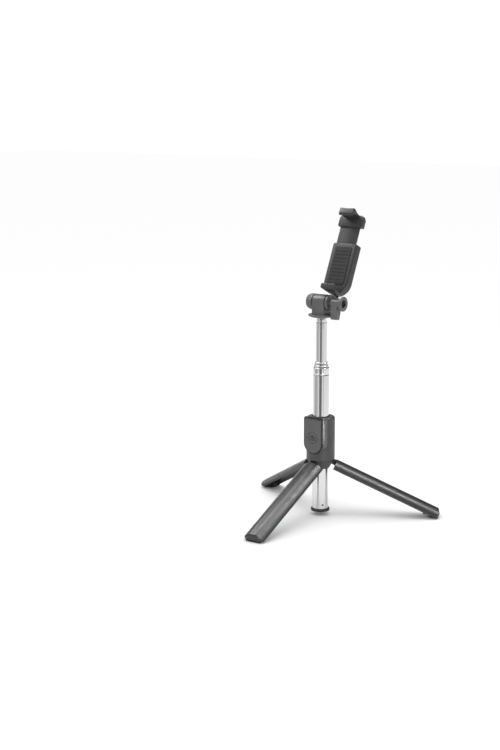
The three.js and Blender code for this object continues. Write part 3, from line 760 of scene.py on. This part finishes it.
leg_mesh = leg_shell()
knuckle_mesh = leg_knuckle()
pad_mesh = foot_pad()
for where, angle in LEG_ANGLES.items():
    stand = turn(angle, "Z") @ shift(0, -HINGE_R, HINGE_Z) @ turn(-LEG_SPREAD, "X")
    settle(copy_of(leg_mesh), f"leg_shell_{where}", f"leg_{where}", None, stand)
    knuckle = copy_of(knuckle_mesh)
    # Black plastic on the knuckle is painted shade: it stands for the dark shadow in the hinge gap between leg and
    # cone.
    trim(knuckle, f"leg_knuckle_{where}", f"leg_{where}", LOOKS["black_plastic"], stand)
    settle(copy_of(pad_mesh), f"foot_sole_{where}", f"foot_pad_{where}", None, stand)
for source in (leg_mesh, knuckle_mesh, pad_mesh):
    bpy.data.objects.remove(source)


# ---- telescopic pole

GROOVE_Z = 141


def rolled_tube(node, wall, grooves=()):
    """A thin tube where a CAD tube is, with a rolled upper lip and rolled grooves."""
    at = span(node)
    outer, low, high = at.x1, at.z0, at.z1
    inner = outer - wall
    lip = 0.42
    profile = [(inner, low + 0.1), (inner + 0.1, low), (outer - 0.15, low), (outer, low + 0.15)]
    for z in grooves:
        half, depth = 0.8, 0.28
        for i in range(13):
            t = i / 12
            profile.append((outer - depth * math.sin(math.pi * t) ** 2, z + half * (2 * t - 1)))
    profile += [(p.x, p.y) for p in arc(outer - lip, high - lip, lip, 0, 90, 6)]
    profile += [(inner, high)]
    return lathe(profile, 144)


RIVET = span("cap_rivet")
RIVET_ANGLE = math.degrees(math.atan2(RIVET.x0 + RIVET.x1, -(RIVET.y0 + RIVET.y1)))
RIVET_Z = (RIVET.z0 + RIVET.z1) / 2


def at_rivet(made):
    """Turns what was made along Z outwards, where the rivet is."""
    return moved(made, shift(0, 0, RIVET_Z) @ turn(RIVET_ANGLE, "Z") @ turn(90, "X"))


def cap_rivet():
    """A rivet with a small dish in its head."""
    head = lathe(rounded([
        (0, TUBE_R - 2.4, 0), (0.75, TUBE_R - 2.4, 0), (0.75, TUBE_R + 0.1, 0.15),
        (0.4, TUBE_R + 0.1, 0), (0.3, TUBE_R - 0.3, 0), (0, TUBE_R - 0.3, 0),
    ], 3), 32)
    return at_rivet(head)


def end_cap():
    """The plug at the pole's lower end, with grip notches round it."""
    cap = span("end_cap")
    rim = 3
    spigot = TUBE_R - 0.65
    body = lathe(rounded([
        (0, cap.z0 + 0.6, 0), (5.6, cap.z0 + 0.6, 0.4), (6.2, cap.z0, 0.3),
        (cap.x1, cap.z0, 0.9), (cap.x1, rim, 0.7), (spigot, rim, 0), (spigot, cap.z1, 0.5),
        (0, cap.z1, 0),
    ], 6), 144)
    notch_count = 24
    for i in range(notch_count):
        notch = rod(0.45, cap.z0 + 0.5, rim - 0.6, 0, 16)
        cut(body, moved(notch, turn(360 * i / notch_count, "Z") @ shift(cap.x1 + 0.22, 0, 0)))
    return cut(body, at_rivet(rod(SMALL_BORE_R, 3, TUBE_R + 1, 0, 24)))


outer_tube = cut(
    rolled_tube("outer_tube", 0.6, (GROOVE_Z,)),
    at_rivet(rod(SMALL_BORE_R, TUBE_R - 2, TUBE_R + 1, 0, 24)),
)
settle(outer_tube, "outer_tube_shell", "outer_tube")
settle(end_cap(), "end_cap_moulding", "end_cap")
settle(cap_rivet(), "cap_rivet_head", "cap_rivet", LOOKS["black_plastic"])
for stage in (2, 3, 4):
    grooves = () if stage == 4 else (span(f"tube_{stage}").z1 - 1.3,)
    settle(rolled_tube(f"tube_{stage}", 0.5, grooves), f"tube_{stage}_shell", f"tube_{stage}")


# ---- remote

LAMP = span("remote_lamp")
LAMP_X = (LAMP.x0 + LAMP.x1) / 2


def remote_lid():
    """The grey face, with holes for the button and the lamp."""
    inside = REMOTE_WALL + 0.1
    outline = tongue(0, REMOTE_LOW, REMOTE_HALF - inside, REMOTE.z1 - inside, 0.8, 32)
    lid = plate_y(outline, REMOTE.y0, REMOTE.y1 + 1.0, 0.5, 5)
    seam = block(-20, 20, REMOTE.y1 - 0.02, 0, 50, 110)
    button_hole = rod_y(BUTTON_R + 0.42, REMOTE.y0 - 2, REMOTE.y1 + 2, 0, BUTTON_Z, 0, 96)
    lamp_hole = rod_y(0.62, REMOTE.y0 - 2, REMOTE.y1 + 2, LAMP_X, BUTTON_Z, 0, 24)
    return cut(lid, button_hole, seam, lamp_hole)


def remote_tray():
    """The black back half, whose rim frames the lid."""
    rim = REMOTE.y0 + 0.25
    outline = tongue(0, REMOTE_LOW, REMOTE_HALF, REMOTE_BACK.z1, 0.6, 32)
    inside = tongue(0, REMOTE_LOW, REMOTE_HALF - REMOTE_WALL, REMOTE_BACK.z1 - REMOTE_WALL, 0.4, 28)
    tray = plate_y(outline, rim, REMOTE_BACK.y1, 0.25, 4)
    return cut(tray, plate_y(inside, rim - 1, REMOTE_BACK.y1 - REMOTE_WALL))


def button_crown():
    """A round key with a shallow dish."""
    dish = 0.18
    depth = BUTTON.y1 - BUTTON.y0
    crown = lathe(rounded([
        (0, dish, 0), (BUTTON_R * 0.55, dish * 0.75, 0), (BUTTON_R - 0.9, 0.02, 0.4),
        (BUTTON_R, 0, 0.35), (BUTTON_R, depth - 0.2, 0), (0, depth - 0.2, 0),
    ], 5), 96)
    return moved(crown, shift(0, BUTTON.y0, BUTTON_Z) @ ALONG_Y)


def frame_line(outline, width, y0, y1):
    return cut(plate_y(outline, y0, y1), plate_y(inset(outline, width), y0 - 1, y1 + 1))


def button_icon():
    """A plain outline of a camera: a rounded box, a small hump and a ring for its lens."""
    y0, y1 = BUTTON.y0 - 0.01, BUTTON.y0 + 0.35
    half_w, half_h, line = 3.2, 2.3, 0.7
    z = BUTTON_Z - 0.2
    body = rectangle(-half_w, half_w, z - half_h, z + half_h, 0.9)
    case = frame_line(body, line, y0, y1)
    lens = frame_line(arc(0, z, 1.2, 0, 348.75, 31), 0.6, y0, y1)
    hump = block(-0.9, 0.9, y0, y1, z + half_h - 0.05, z + half_h + 0.6, 0, 0.1)
    return join(case, lens, hump)


settle(remote_lid(), "remote_lid", "remote_face")
settle(remote_tray(), "remote_tray", "remote_back", LOOKS["black_plastic"])
settle(button_crown(), "button_crown", "remote_button")
trim(button_icon(), "button_icon", "remote_button", LOOKS["black_plastic"])
lens = rod_y((LAMP.x1 - LAMP.x0) / 2, LAMP.y0, LAMP.y1, LAMP_X, BUTTON_Z, 0.25, 32)
settle(lens, "remote_lens", "remote_lamp")


# ---- head

HEAD = span("head_base")
NECK = span("neck_plug")
AXIS_Z = JOINTS["clamp_tilt"]["pos_m"][2] / MM
BLOCK_X0, BLOCK_X1, BLOCK_HALF = -6.8, 7.2, 8
DISC_R = HEAD.x1
DISC_TOP = HEAD.z0 + 2.8
KNOB = span("tilt_knob")
LEVER = span("wing_lever")
WING_X0, WING_X1 = 13.5, 20.8
BOLT_R = 2
AT_AXIS = shift(0, 0, AXIS_Z)


def neck():
    """The plug in the upper tube that the head turns on."""
    bore_r = 1.6
    return lathe(rounded([
        (bore_r, NECK.z0, 0), (NECK.x1, NECK.z0, 0.3), (NECK.x1, NECK.z1, 0.35),
        (bore_r, NECK.z1, 0),
    ], 4), 96)


def head_block():
    """A disc over the tube's lip and an upright block with a round top."""
    disc = lathe(rounded([
        (0, HEAD.z0, 0), (DISC_R - 2.6, HEAD.z0, 0.8), (DISC_R, HEAD.z0 + 1.2, 0.35),
        (DISC_R, DISC_TOP, 0.6), (0, DISC_TOP, 0),
    ], 5), 144)
    side = [Vector((-BLOCK_HALF, DISC_TOP - 1)), Vector((BLOCK_HALF, DISC_TOP - 1))]
    side += arc(0, AXIS_Z, BLOCK_HALF, 0, 180, 48)
    body = plate_x(side, BLOCK_X0, BLOCK_X1, 0.7, 4)
    bolt = rod_x(BOLT_R + 0.2, -20, 20, 0, AXIS_Z)
    pin = rod(1.55, HEAD.z0 - 1, DISC_TOP + 3.2, 0, 32)
    return cut(join(disc, body), bolt, pin)


def knurled_knob():
    """A domed knob with fine slanted ribs on its rim and a hexagonal socket for the bolt."""
    edge = KNOB.x1 - 0.35
    dome = KNOB.x0
    rim_r, ribbed_from_r = 8, 6
    profile = [(p.x, p.y) for p in rounded([
        (0, dome, 0), (3.6, dome, 1.6), (6.9, dome + 1.3, 1.6), (rim_r, dome + 4.2, 1.2),
        (rim_r, edge, 0.5), (0, edge, 0),
    ], 6)]
    rows = []
    for (r0, z0), (r1, z1) in zip(profile, profile[1:]):
        outer = min(r0, r1) > ribbed_from_r
        steps = max(1, round((z1 - z0) / 0.35)) if outer else 1
        rows += [(r0 + (r1 - r0) * i / steps, z0 + (z1 - z0) * i / steps) for i in range(steps)]
    rows.append(profile[-1])
    ribs, depth, slant = 48, 0.22, 0.16
    first, last = dome + 3.4, edge - 0.9

    def ribbed(r, z, a):
        fade = max(0.0, min(1.0, (z - first) / 0.8, (last - z) / 0.5))
        wave = 0.5 - 0.5 * math.cos(ribs * (a - slant * (z - first) / 4))
        return r - depth * fade * wave

    knob = lathe(rows, ribs * 6, ribbed)
    socket_r, socket_end = 4, -14.2
    socket = lathe([(0, socket_end), (socket_r, socket_end), (socket_r, 0), (0, 0)], 6)
    return moved(cut(knob, socket), AT_AXIS @ ALONG_X)


def bolt():
    """The tilt bolt, with a hexagonal head that sits in the knob."""
    head_x0, head_x1 = -13.9, -10.9
    corner_r, end_r = 3.7, 3.3
    profile = rounded([
        (0, head_x0, 0), (end_r, head_x0, 0), (corner_r, head_x0 + 0.4, 0),
        (corner_r, head_x1, 0), (0, head_x1, 0),
    ])
    head = moved(lathe(profile, 6), ALONG_X)
    shank = moved(rod(BOLT_R, -11.5, 23, 0.4, 48), ALONG_X)
    return moved(join(head, shank), AT_AXIS)


def wing_lever():
    """A round hub with a flanged, recessed end, and a flat wing that hangs from it."""
    low, high = LEVER.x0, LEVER.x1
    hub_r, flange_r, recess_r, reach = 5.2, 7.4, 4.1, 16.3
    hub = moved(lathe(rounded([
        (0, low, 0), (hub_r, low, 0.6), (hub_r, high - 3.0, 1.2),
        (flange_r, high - 2.2, 0.5), (flange_r, high, 0.7), (4.6, high, 0.3),
        (recess_r, high - 0.5, 0.1), (recess_r, high - 1.5, 0), (0, high - 1.5, 0),
    ], 5), 120), ALONG_X)
    wing = rounded([
        (-hub_r + 0.4, 0.6, 0), (-4.5, -8, 14), (-3.3, -reach, 1.3), (3.3, -reach, 1.3),
        (4.5, -8, 14), (hub_r - 0.4, 0.6, 0),
    ], 7)
    blade = plate_x(wing, WING_X0, WING_X1, 1.0, 5)
    hole = rod_x(BOLT_R + 0.2, low - 1, high + 1)
    recess = rod_x(recess_r, low + 4.4, high + 1)
    lever = cut(join(hub, blade), hole, recess)
    return moved(lever, AT_AXIS @ turn(-8, "X"))


def lever_nut():
    """The hexagonal nut in the lever's end, with chamfered faces."""
    nut = span("lever_nut")
    corner_r, end_r, chamfer = 3.6, 3.3, 0.35
    profile = [
        (0, nut.x0), (end_r, nut.x0), (corner_r, nut.x0 + chamfer),
        (corner_r, nut.x1 - chamfer), (end_r, nut.x1), (0, nut.x1),
    ]
    made = cut(moved(lathe(profile, 6), ALONG_X), rod_x(BOLT_R + 0.1, 0, 40))
    return moved(made, AT_AXIS)


def axis_washer(node, inner):
    """A washer on the tilt bolt, where its CAD node is."""
    at = span(node)
    washer = ring(inner, (at.z1 - at.z0) / 2, at.x0, at.x1, min(0.12, (at.x1 - at.x0) / 3))
    return moved(washer, AT_AXIS @ ALONG_X)


settle(neck(), "neck_post", "neck_plug")
settle(head_block(), "head_block", "head_base")
settle(knurled_knob(), "knurled_knob", "tilt_knob")
settle(bolt(), "bolt", "tilt_bolt")
settle(wing_lever(), "lever_moulding", "wing_lever")
settle(lever_nut(), "hex_nut", "lever_nut")
thrust = axis_washer("thrust_washer", BOLT_R + 0.2)
settle(thrust, "thrust_ring", "thrust_washer", LOOKS["head_plastic"])
friction = axis_washer("friction_washer", BOLT_R + 0.25)
settle(friction, "friction_ring", "friction_washer")


# ---- tilting arm and phone clamp

TILT = 25.6
PIVOT = JOINTS["clamp_turn"]["pos_m"]
LEANING = AT_AXIS @ turn(-TILT, "X")
PIVOT_AT = LEANING.inverted() @ Vector([c / MM for c in PIVOT])
CLAMP_X = PIVOT_AT.x
PIVOT_Z = 23.35
CLAMP_HALF = 13.75
CLAMP_FRONT, CLAMP_SPLIT, CLAMP_BACK, CLAMP_TOP, CLAMP_WALL = 1, 8.6, 11, 64, 1.85
PHONE_FRONT, PHONE_BACK, PHONE_LOW, PHONE_HIGH = -8.6, 0.4, 13, 90.9
JAW_HALF = 8.2
PAD = 1.1
ROD_X, ROD_Y, ROD_R = 7.5, 6.5, 1
EAR_X0, EAR_X1, EAR_R = 8.1, 10.6, 8
BAR_LOW, BAR_HIGH = 36, 40
SCREW_X, SCREW_Z = 9.4, CLAMP_TOP - 1.5


def leaning(made, name, node):
    """A piece drawn upright round the tilt axis, which leans back with the clamp."""
    return settle(made, name, node, None, LEANING)


def across(half, y0, y1, z0, z1, edge=0.0, corner=0.0):
    """A bar across the middle of the clamp."""
    return block(CLAMP_X - half, CLAMP_X + half, y0, y1, z0, z1, edge, corner)


def tilt_arm():
    """The ear beside the block, and the disc behind the clamp that the clamp turns on."""
    web = rounded([
        (0, 0, 0), (0, EAR_R, 0), (5.5, 9, 1), (CLAMP_BACK + 0.4, 9, 1),
        (CLAMP_BACK + 0.4, PIVOT_Z + 7, 0), (14.3, PIVOT_Z + 7, 1.2), (14.3, 15, 8),
        (6.5, -4.6, 0),
    ])
    ear = plate_x(web, EAR_X0 + 0.02, EAR_X1 - 0.02, 0.35, 3)
    disc = rod_y(10.5, CLAMP_BACK + 0.3, 14.2, CLAMP_X, PIVOT_Z, 0.7, 120)
    boss = rod_x(EAR_R, EAR_X0, EAR_X1, 0, 0, 0.55, 120)
    dish = moved(ring(4.2, 6.6, EAR_X1 - 0.35, EAR_X1 + 1, 0.1), ALONG_X)
    bolt_hole = rod_x(BOLT_R + 0.25, EAR_X0 - 1, EAR_X1 + 1)
    screw_hole = rod_y(2.6, 8, 20, CLAMP_X, PIVOT_Z)
    return cut(join(ear, disc, boss), dish, bolt_hole, screw_hole)


def clamp_shell():
    """The clamp's flat case, open behind, with a slit for the jaw and the fixed lower lip."""
    outline = tongue(CLAMP_X, PIVOT_Z, CLAMP_HALF, CLAMP_TOP, 1.5, 36)
    shell = plate_y(outline, CLAMP_FRONT, CLAMP_SPLIT + 2.0, 1.3, 5)
    behind = block(-20, 40, CLAMP_SPLIT, 20, 0, 80)
    hollow_outline = tongue(CLAMP_X, PIVOT_Z, CLAMP_HALF - CLAMP_WALL, CLAMP_TOP - 3, 0.8, 32)
    hollow = plate_y(hollow_outline, CLAMP_FRONT + 1.6, CLAMP_SPLIT + 1)
    slit = across(11.6, CLAMP_FRONT + 1.6, CLAMP_FRONT + 3.9, 40, CLAMP_TOP + 5)
    hook = rounded([
        (CLAMP_FRONT + 1, 9.5, 0), (-4, 9.5, 4), (-11.3, 11, 1.6), (-11.5, 16.8, 0.8),
        (-9.2, 16.8, 1.0), (PHONE_FRONT - 0.1, 16.0, 0.3),
        (PHONE_FRONT - 0.1, PHONE_LOW - PAD - 0.1, 0),
        (CLAMP_FRONT + 1, PHONE_LOW - PAD - 0.1, 0),
    ])
    lip = plate_x(hook, CLAMP_X - JAW_HALF, CLAMP_X + JAW_HALF, 0.9, 4)
    lip = common(lip, plate_y(tongue(CLAMP_X, PIVOT_Z, CLAMP_HALF - 0.05, 40, 0, 48), -15, 5))
    body = join(cut(shell, behind, hollow, slit), lip)
    for side in (-1, 1):
        x = CLAMP_X + side * SCREW_X
        cut(body, rod_y(SMALL_BORE_R, CLAMP_SPLIT - 3.2, CLAMP_SPLIT + 1, x, SCREW_Z, 0, 24))
    return body


def clamp_lid():
    """The case's cover, with cross grooves, screw holes and the bore of the pivot."""
    outline = tongue(CLAMP_X, PIVOT_Z, CLAMP_HALF, CLAMP_TOP, 1.5, 36)
    lid = plate_y(outline, CLAMP_SPLIT - 1.5, CLAMP_BACK, 1.0, 5)
    ahead = block(-20, 40, -10, CLAMP_SPLIT + 0.12, 0, 80)
    counterbore = rod_y(4.6, CLAMP_SPLIT - 2, CLAMP_SPLIT + 1.6, CLAMP_X, PIVOT_Z)
    hole = rod_y(2.7, CLAMP_SPLIT - 2, CLAMP_BACK + 1, CLAMP_X, PIVOT_Z)
    lid = cut(lid, ahead, counterbore, hole)
    for side in (-1, 1):
        x = CLAMP_X + side * SCREW_X
        cut(lid, rod_y(SMALL_BORE_R, 0, CLAMP_BACK + 1, x, SCREW_Z, 0, 24))
        cut(lid, rod_y(1.75, CLAMP_BACK - 1, CLAMP_BACK + 1, x, SCREW_Z, 0, 32))
    for i in range(5):
        z = 42 + 3 * i
        cut(lid, across(7, CLAMP_BACK - 0.35, CLAMP_BACK + 1, z, z + 1.1))
    return lid


def cover_screw(side):
    x = CLAMP_X + side * SCREW_X
    head = rod_y(1.6, CLAMP_BACK - 0.9, CLAMP_BACK - 0.1, x, SCREW_Z, 0.2, 32)
    shank = rod_y(0.8, CLAMP_SPLIT - 2.8, CLAMP_BACK - 0.5, x, SCREW_Z, 0.2, 24)
    screw = join(head, shank)
    for angle in (0, 90):
        slot = block(-0.95, 0.95, -0.45, 1, -0.17, 0.17)
        cut(screw, moved(slot, shift(x, CLAMP_BACK - 0.1, SCREW_Z) @ turn(angle + 20, "Y")))
    return screw


def ribbed_pad(z0, z1, ribs_up):
    """A jaw's rubber strip: a flat back and a row of ribs towards the phone."""
    x0, x1 = CLAMP_X - JAW_HALF + 0.7, CLAMP_X + JAW_HALF - 0.7
    y0, y1 = PHONE_FRONT + 0.1, PHONE_BACK - 0.2
    count, depth = 6, 0.35
    pitch = (y1 - y0) / count
    base, tip = (z0, z1) if ribs_up else (z1, z0)
    face = tip - depth if ribs_up else tip + depth
    outline = [Vector((y0, base)), Vector((y1, base))]
    for i in range(count):
        start = y1 - i * pitch
        for share, z in [(0.1, face), (0.25, tip), (0.75, tip), (0.9, face)]:
            outline.append(Vector((start - share * pitch, z)))
    return plate_x(outline, x0, x1)


def back_pad():
    """The soft face behind the phone, with shallow cross grooves."""
    y0, y1 = PHONE_BACK, CLAMP_FRONT - 0.05
    outline = rounded([
        (CLAMP_X - 9.5, 20, 3), (CLAMP_X + 9.5, 20, 3), (CLAMP_X + 9.5, 60, 1.2),
        (CLAMP_X - 9.5, 60, 1.2),
    ], 6)
    pad = plate_y(outline, y0, y1, 0.2, 3)
    for i in range(9):
        z = 25 + 3.75 * i
        cut(pad, across(7.6, y0 - 1, y0 + 0.25, z - 0.4, z + 0.4))
    return pad


def upper_jaw():
    """The sliding plate with its spring bar, the shoulder and the hooked lip."""
    y0 = CLAMP_FRONT + 1.9
    plate_half = 11.3
    plate_outline = tongue(CLAMP_X, BAR_HIGH + 0.3, plate_half, PHONE_HIGH - 2, 0, 32)
    plate = plate_y(plate_outline, y0, y0 + 1.7, 0.2, 2)
    bar = across(plate_half, y0 + 1, 8.3, BAR_LOW, BAR_HIGH, 0.3, 0.5)
    shoulder_outline = rounded([
        (CLAMP_X - 14, PHONE_HIGH - 9, 1.2), (CLAMP_X + 14, PHONE_HIGH - 9, 1.2),
        (CLAMP_X + 14, PHONE_HIGH - 0.5, 1.5), (CLAMP_X + 12, PHONE_HIGH + 3.6, 1.8),
        (CLAMP_X - 12, PHONE_HIGH + 3.6, 1.8), (CLAMP_X - 14, PHONE_HIGH - 0.5, 1.5),
    ])
    shoulder = plate_y(shoulder_outline, CLAMP_FRONT, 7.6, 0.9, 4)
    hook = rounded([
        (CLAMP_FRONT + 1, PHONE_HIGH + PAD + 0.1, 0),
        (PHONE_FRONT - 0.1, PHONE_HIGH + PAD + 0.1, 0),
        (PHONE_FRONT - 0.1, PHONE_HIGH - 0.6, 0.3), (-9.4, PHONE_HIGH - 1.3, 0.5),
        (-11.3, PHONE_HIGH - 1.2, 0.8), (-11.9, PHONE_HIGH + 1, 1.2),
        (-11.4, PHONE_HIGH + 6.9, 1.5), (-7.5, PHONE_HIGH + 6.6, 1.5),
        (-3, PHONE_HIGH + 4.6, 3), (CLAMP_FRONT + 1, PHONE_HIGH + 4, 0),
    ])
    lip = plate_x(hook, CLAMP_X - JAW_HALF, CLAMP_X + JAW_HALF, 0.8, 4)
    saddle_r = 40
    lip = cut(lip, rod_y(saddle_r, -20, 0.5, CLAMP_X, PHONE_HIGH + 6 + saddle_r, 0, 240))
    for i in range(4):
        y = -9.6 + 1.9 * i
        dip = 0.35 * i
        cut(lip, across(6.4, y - 0.35, y + 0.35, PHONE_HIGH + 5.2 - dip, PHONE_HIGH + 9))
    jaw = join(plate, bar, shoulder, lip)
    for side in (-1, 1):
        cut(jaw, moved(rod(ROD_R + 0.25, 30, 45, 0, 24), shift(CLAMP_X + side * ROD_X, ROD_Y, 0)))
    return jaw


def spring(side):
    """A compression spring with closed, ground ends, on its guide rod."""
    low, high = BAR_HIGH + 0.35, CLAMP_TOP - 3 - 0.35
    wire = 0.24
    coil_r = 1.75 - wire
    turns, per_turn = 13, 14
    path = []
    for i in range(turns * per_turn + 1):
        t = i / (turns * per_turn)
        ease = t - 0.055 * math.sin(2 * math.pi * t)
        a = 2 * math.pi * turns * t
        z = low + wire + (high - low - 2 * wire) * ease
        path.append(Vector((coil_r * math.cos(a), coil_r * math.sin(a), z)))
    return moved(swept(path, wire, 6), shift(CLAMP_X + side * ROD_X, ROD_Y, 0))


def pivot_cap():
    """The dished cap over the pivot screw."""
    cap = lathe(rounded([
        (0, 0, 0), (5, 0, 0.1), (5, 0.9, 0.35), (3.9, 1.3, 0.3), (3.4, 1.05, 0.2),
        (0, 1.05, 0),
    ], 4), 96)
    return moved(cap, shift(CLAMP_X, 15.3, PIVOT_Z) @ ALONG_Y)


leaning(tilt_arm(), "arm_moulding", "tilt_arm")
leaning(pivot_cap(), "pivot_cover", "pivot_cap")
leaning(clamp_shell(), "clamp_shell", "clamp_body")
leaning(clamp_lid(), "clamp_lid", "clamp_cover")
leaning(upper_jaw(), "jaw_moulding", "upper_jaw")
leaning(back_pad(), "back_cushion", "clamp_back_pad")
lower_strip = ribbed_pad(PHONE_LOW - PAD, PHONE_LOW, True)
upper_strip = ribbed_pad(PHONE_HIGH, PHONE_HIGH + PAD, False)
leaning(lower_strip, "lower_strip", "lower_jaw_pad")
leaning(upper_strip, "upper_strip", "upper_jaw_pad")
for where, sign in {"left": -1, "right": 1}.items():
    leaning(cover_screw(sign), f"cross_screw_{where}", f"cover_screw_{where}")
    wire = leaning(spring(sign), f"coil_spring_{where}", f"clamp_spring_{where}")
    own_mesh(wire)


# ---- what stays as the CAD made it

for name, node in NODES.items():
    if node.hide_render:
        continue
    node.data.materials.clear()
    node.data.materials.append(LOOKS[SLOT_OF[name]])
    soft_edge = node.modifiers.new("soft_edge", "BEVEL")
    soft_edge.width = 0.08 * MM
    soft_edge.segments = 2
    soft_edge.limit_method = "ANGLE"
    soft_edge.angle_limit = math.radians(50)


# ---- floor, light and camera

def card(name, width, height):
    """A flat rectangle about the origin, facing Z."""
    x, y = width / 2, height / 2
    return mesh_object(name, [(-x, -y, 0), (x, -y, 0), (x, y, 0), (-x, y, 0)], [(0, 1, 2, 3)])


def floor():
    side = 12000
    sheet = card("floor", side, side)
    sheet.data.transform(Matrix.Scale(MM, 4) @ shift(0, 0, FLOOR_Z))
    sheet.data.materials.append(floor_finish())


def softbox(name, at, towards, width, height, watts):
    data = bpy.data.lights.new(name, "AREA")
    data.shape = "RECTANGLE"
    data.size = width
    data.size_y = height
    data.energy = watts
    lamp = placed(name, data)
    lamp.location = at
    lamp.rotation_euler = (Vector(towards) - Vector(at)).to_track_quat("-Z", "Y").to_euler()


def lit_sheet(name, at, towards, width, height, strength):
    """A flat card that only shows in reflections: a softbox when it is bright, a flag when it is dim."""
    sheet = card(name, width, height)
    facing = (Vector(towards) - Vector(at)).to_track_quat("Z", "Y").to_matrix().to_4x4()
    sheet.data.transform(Matrix.Translation(at) @ facing)
    glow = bpy.data.materials.new(name)
    glow.use_nodes = True
    tree = glow.node_tree
    tree.nodes.clear()
    output = tree.nodes.new("ShaderNodeOutputMaterial")
    emission = tree.nodes.new("ShaderNodeEmission")
    emission.inputs["Strength"].default_value = strength
    tree.links.new(emission.outputs[0], output.inputs["Surface"])
    sheet.data.materials.append(glow)
    sheet.visible_camera = False
    sheet.visible_diffuse = False
    sheet.visible_shadow = False


def flag(name, azimuth, distance, width, height, strength):
    """An upright card round the pole, at an azimuth from the front towards +X."""
    a = math.radians(azimuth)
    at = (distance * math.sin(a), -distance * math.cos(a), FLOOR_Z * MM + height / 2)
    lit_sheet(name, at, (0, 0, at[2]), width, height, strength)


def backdrop(tree, strength):
    node = tree.nodes.new("ShaderNodeBackground")
    node.inputs["Color"].default_value = (1, 1, 1, 1)
    node.inputs["Strength"].default_value = strength
    return node


def sky():
    """White behind the object and for its fill light, and a dim room for its reflections."""
    world = bpy.data.worlds.new("studio")
    bpy.context.scene.world = world
    world.use_nodes = True
    tree = world.node_tree
    tree.nodes.clear()
    output = tree.nodes.new("ShaderNodeOutputWorld")
    mixed = tree.nodes.new("ShaderNodeMixShader")
    bright = backdrop(tree, 1.08)
    room = backdrop(tree, 0.12)
    path = tree.nodes.new("ShaderNodeLightPath")
    tree.links.new(path.outputs["Is Glossy Ray"], mixed.inputs[0])
    tree.links.new(bright.outputs[0], mixed.inputs[1])
    tree.links.new(room.outputs[0], mixed.inputs[2])
    tree.links.new(mixed.outputs[0], output.inputs["Surface"])


CAMERA_AT = Vector((0.80611, -1.26337, 0.43189))
CAMERA_AIM = Vector((-0.05840, -0.04131, 0.21608))


def camera():
    data = bpy.data.cameras.new("camera")
    data.lens = 72.69
    data.shift_y = -0.1
    data.sensor_width = 36
    view = placed("camera", data)
    view.location = CAMERA_AT
    view.rotation_euler = (CAMERA_AIM - CAMERA_AT).to_track_quat("-Z", "Y").to_euler()
    bpy.context.scene.camera = view


floor()
sky()
camera()
AIM = (0, 0, 0.12)
softbox("overhead", (0.1, -0.1, 1.1), AIM, 0.7, 0.7, 3)
lit_sheet("strip_light", (0.42, 0.34, 0.97), AIM, 0.14, 0.5, 27)
lit_sheet("broad_light", (-0.08, 0.3, 1.05), AIM, 0.4, 0.4, 8)
lit_sheet("left_light", (-0.58, -0.12, 1.02), AIM, 0.5, 0.7, 9)
lit_sheet("back_light", (-0.75, 0.78, 0.22), AIM, 0.5, 0.7, 1.3)
lit_sheet("low_card", (0.29, -0.19, 0.012), (0, 0, 0.012), 0.07, 0.05, 15)
flag("left_flag", -43, 0.35, 0.06, 0.34, 0.28)
flag("camera_flag", 25, 0.35, 0.23, 0.34, 0.2)
flag("right_flag", 64, 0.36, 0.05, 0.34, 0.5)
flag("left_wall", -40, 0.5, 0.7, 0.5, 0.68)
bpy.context.scene.view_settings.view_transform = "Standard"
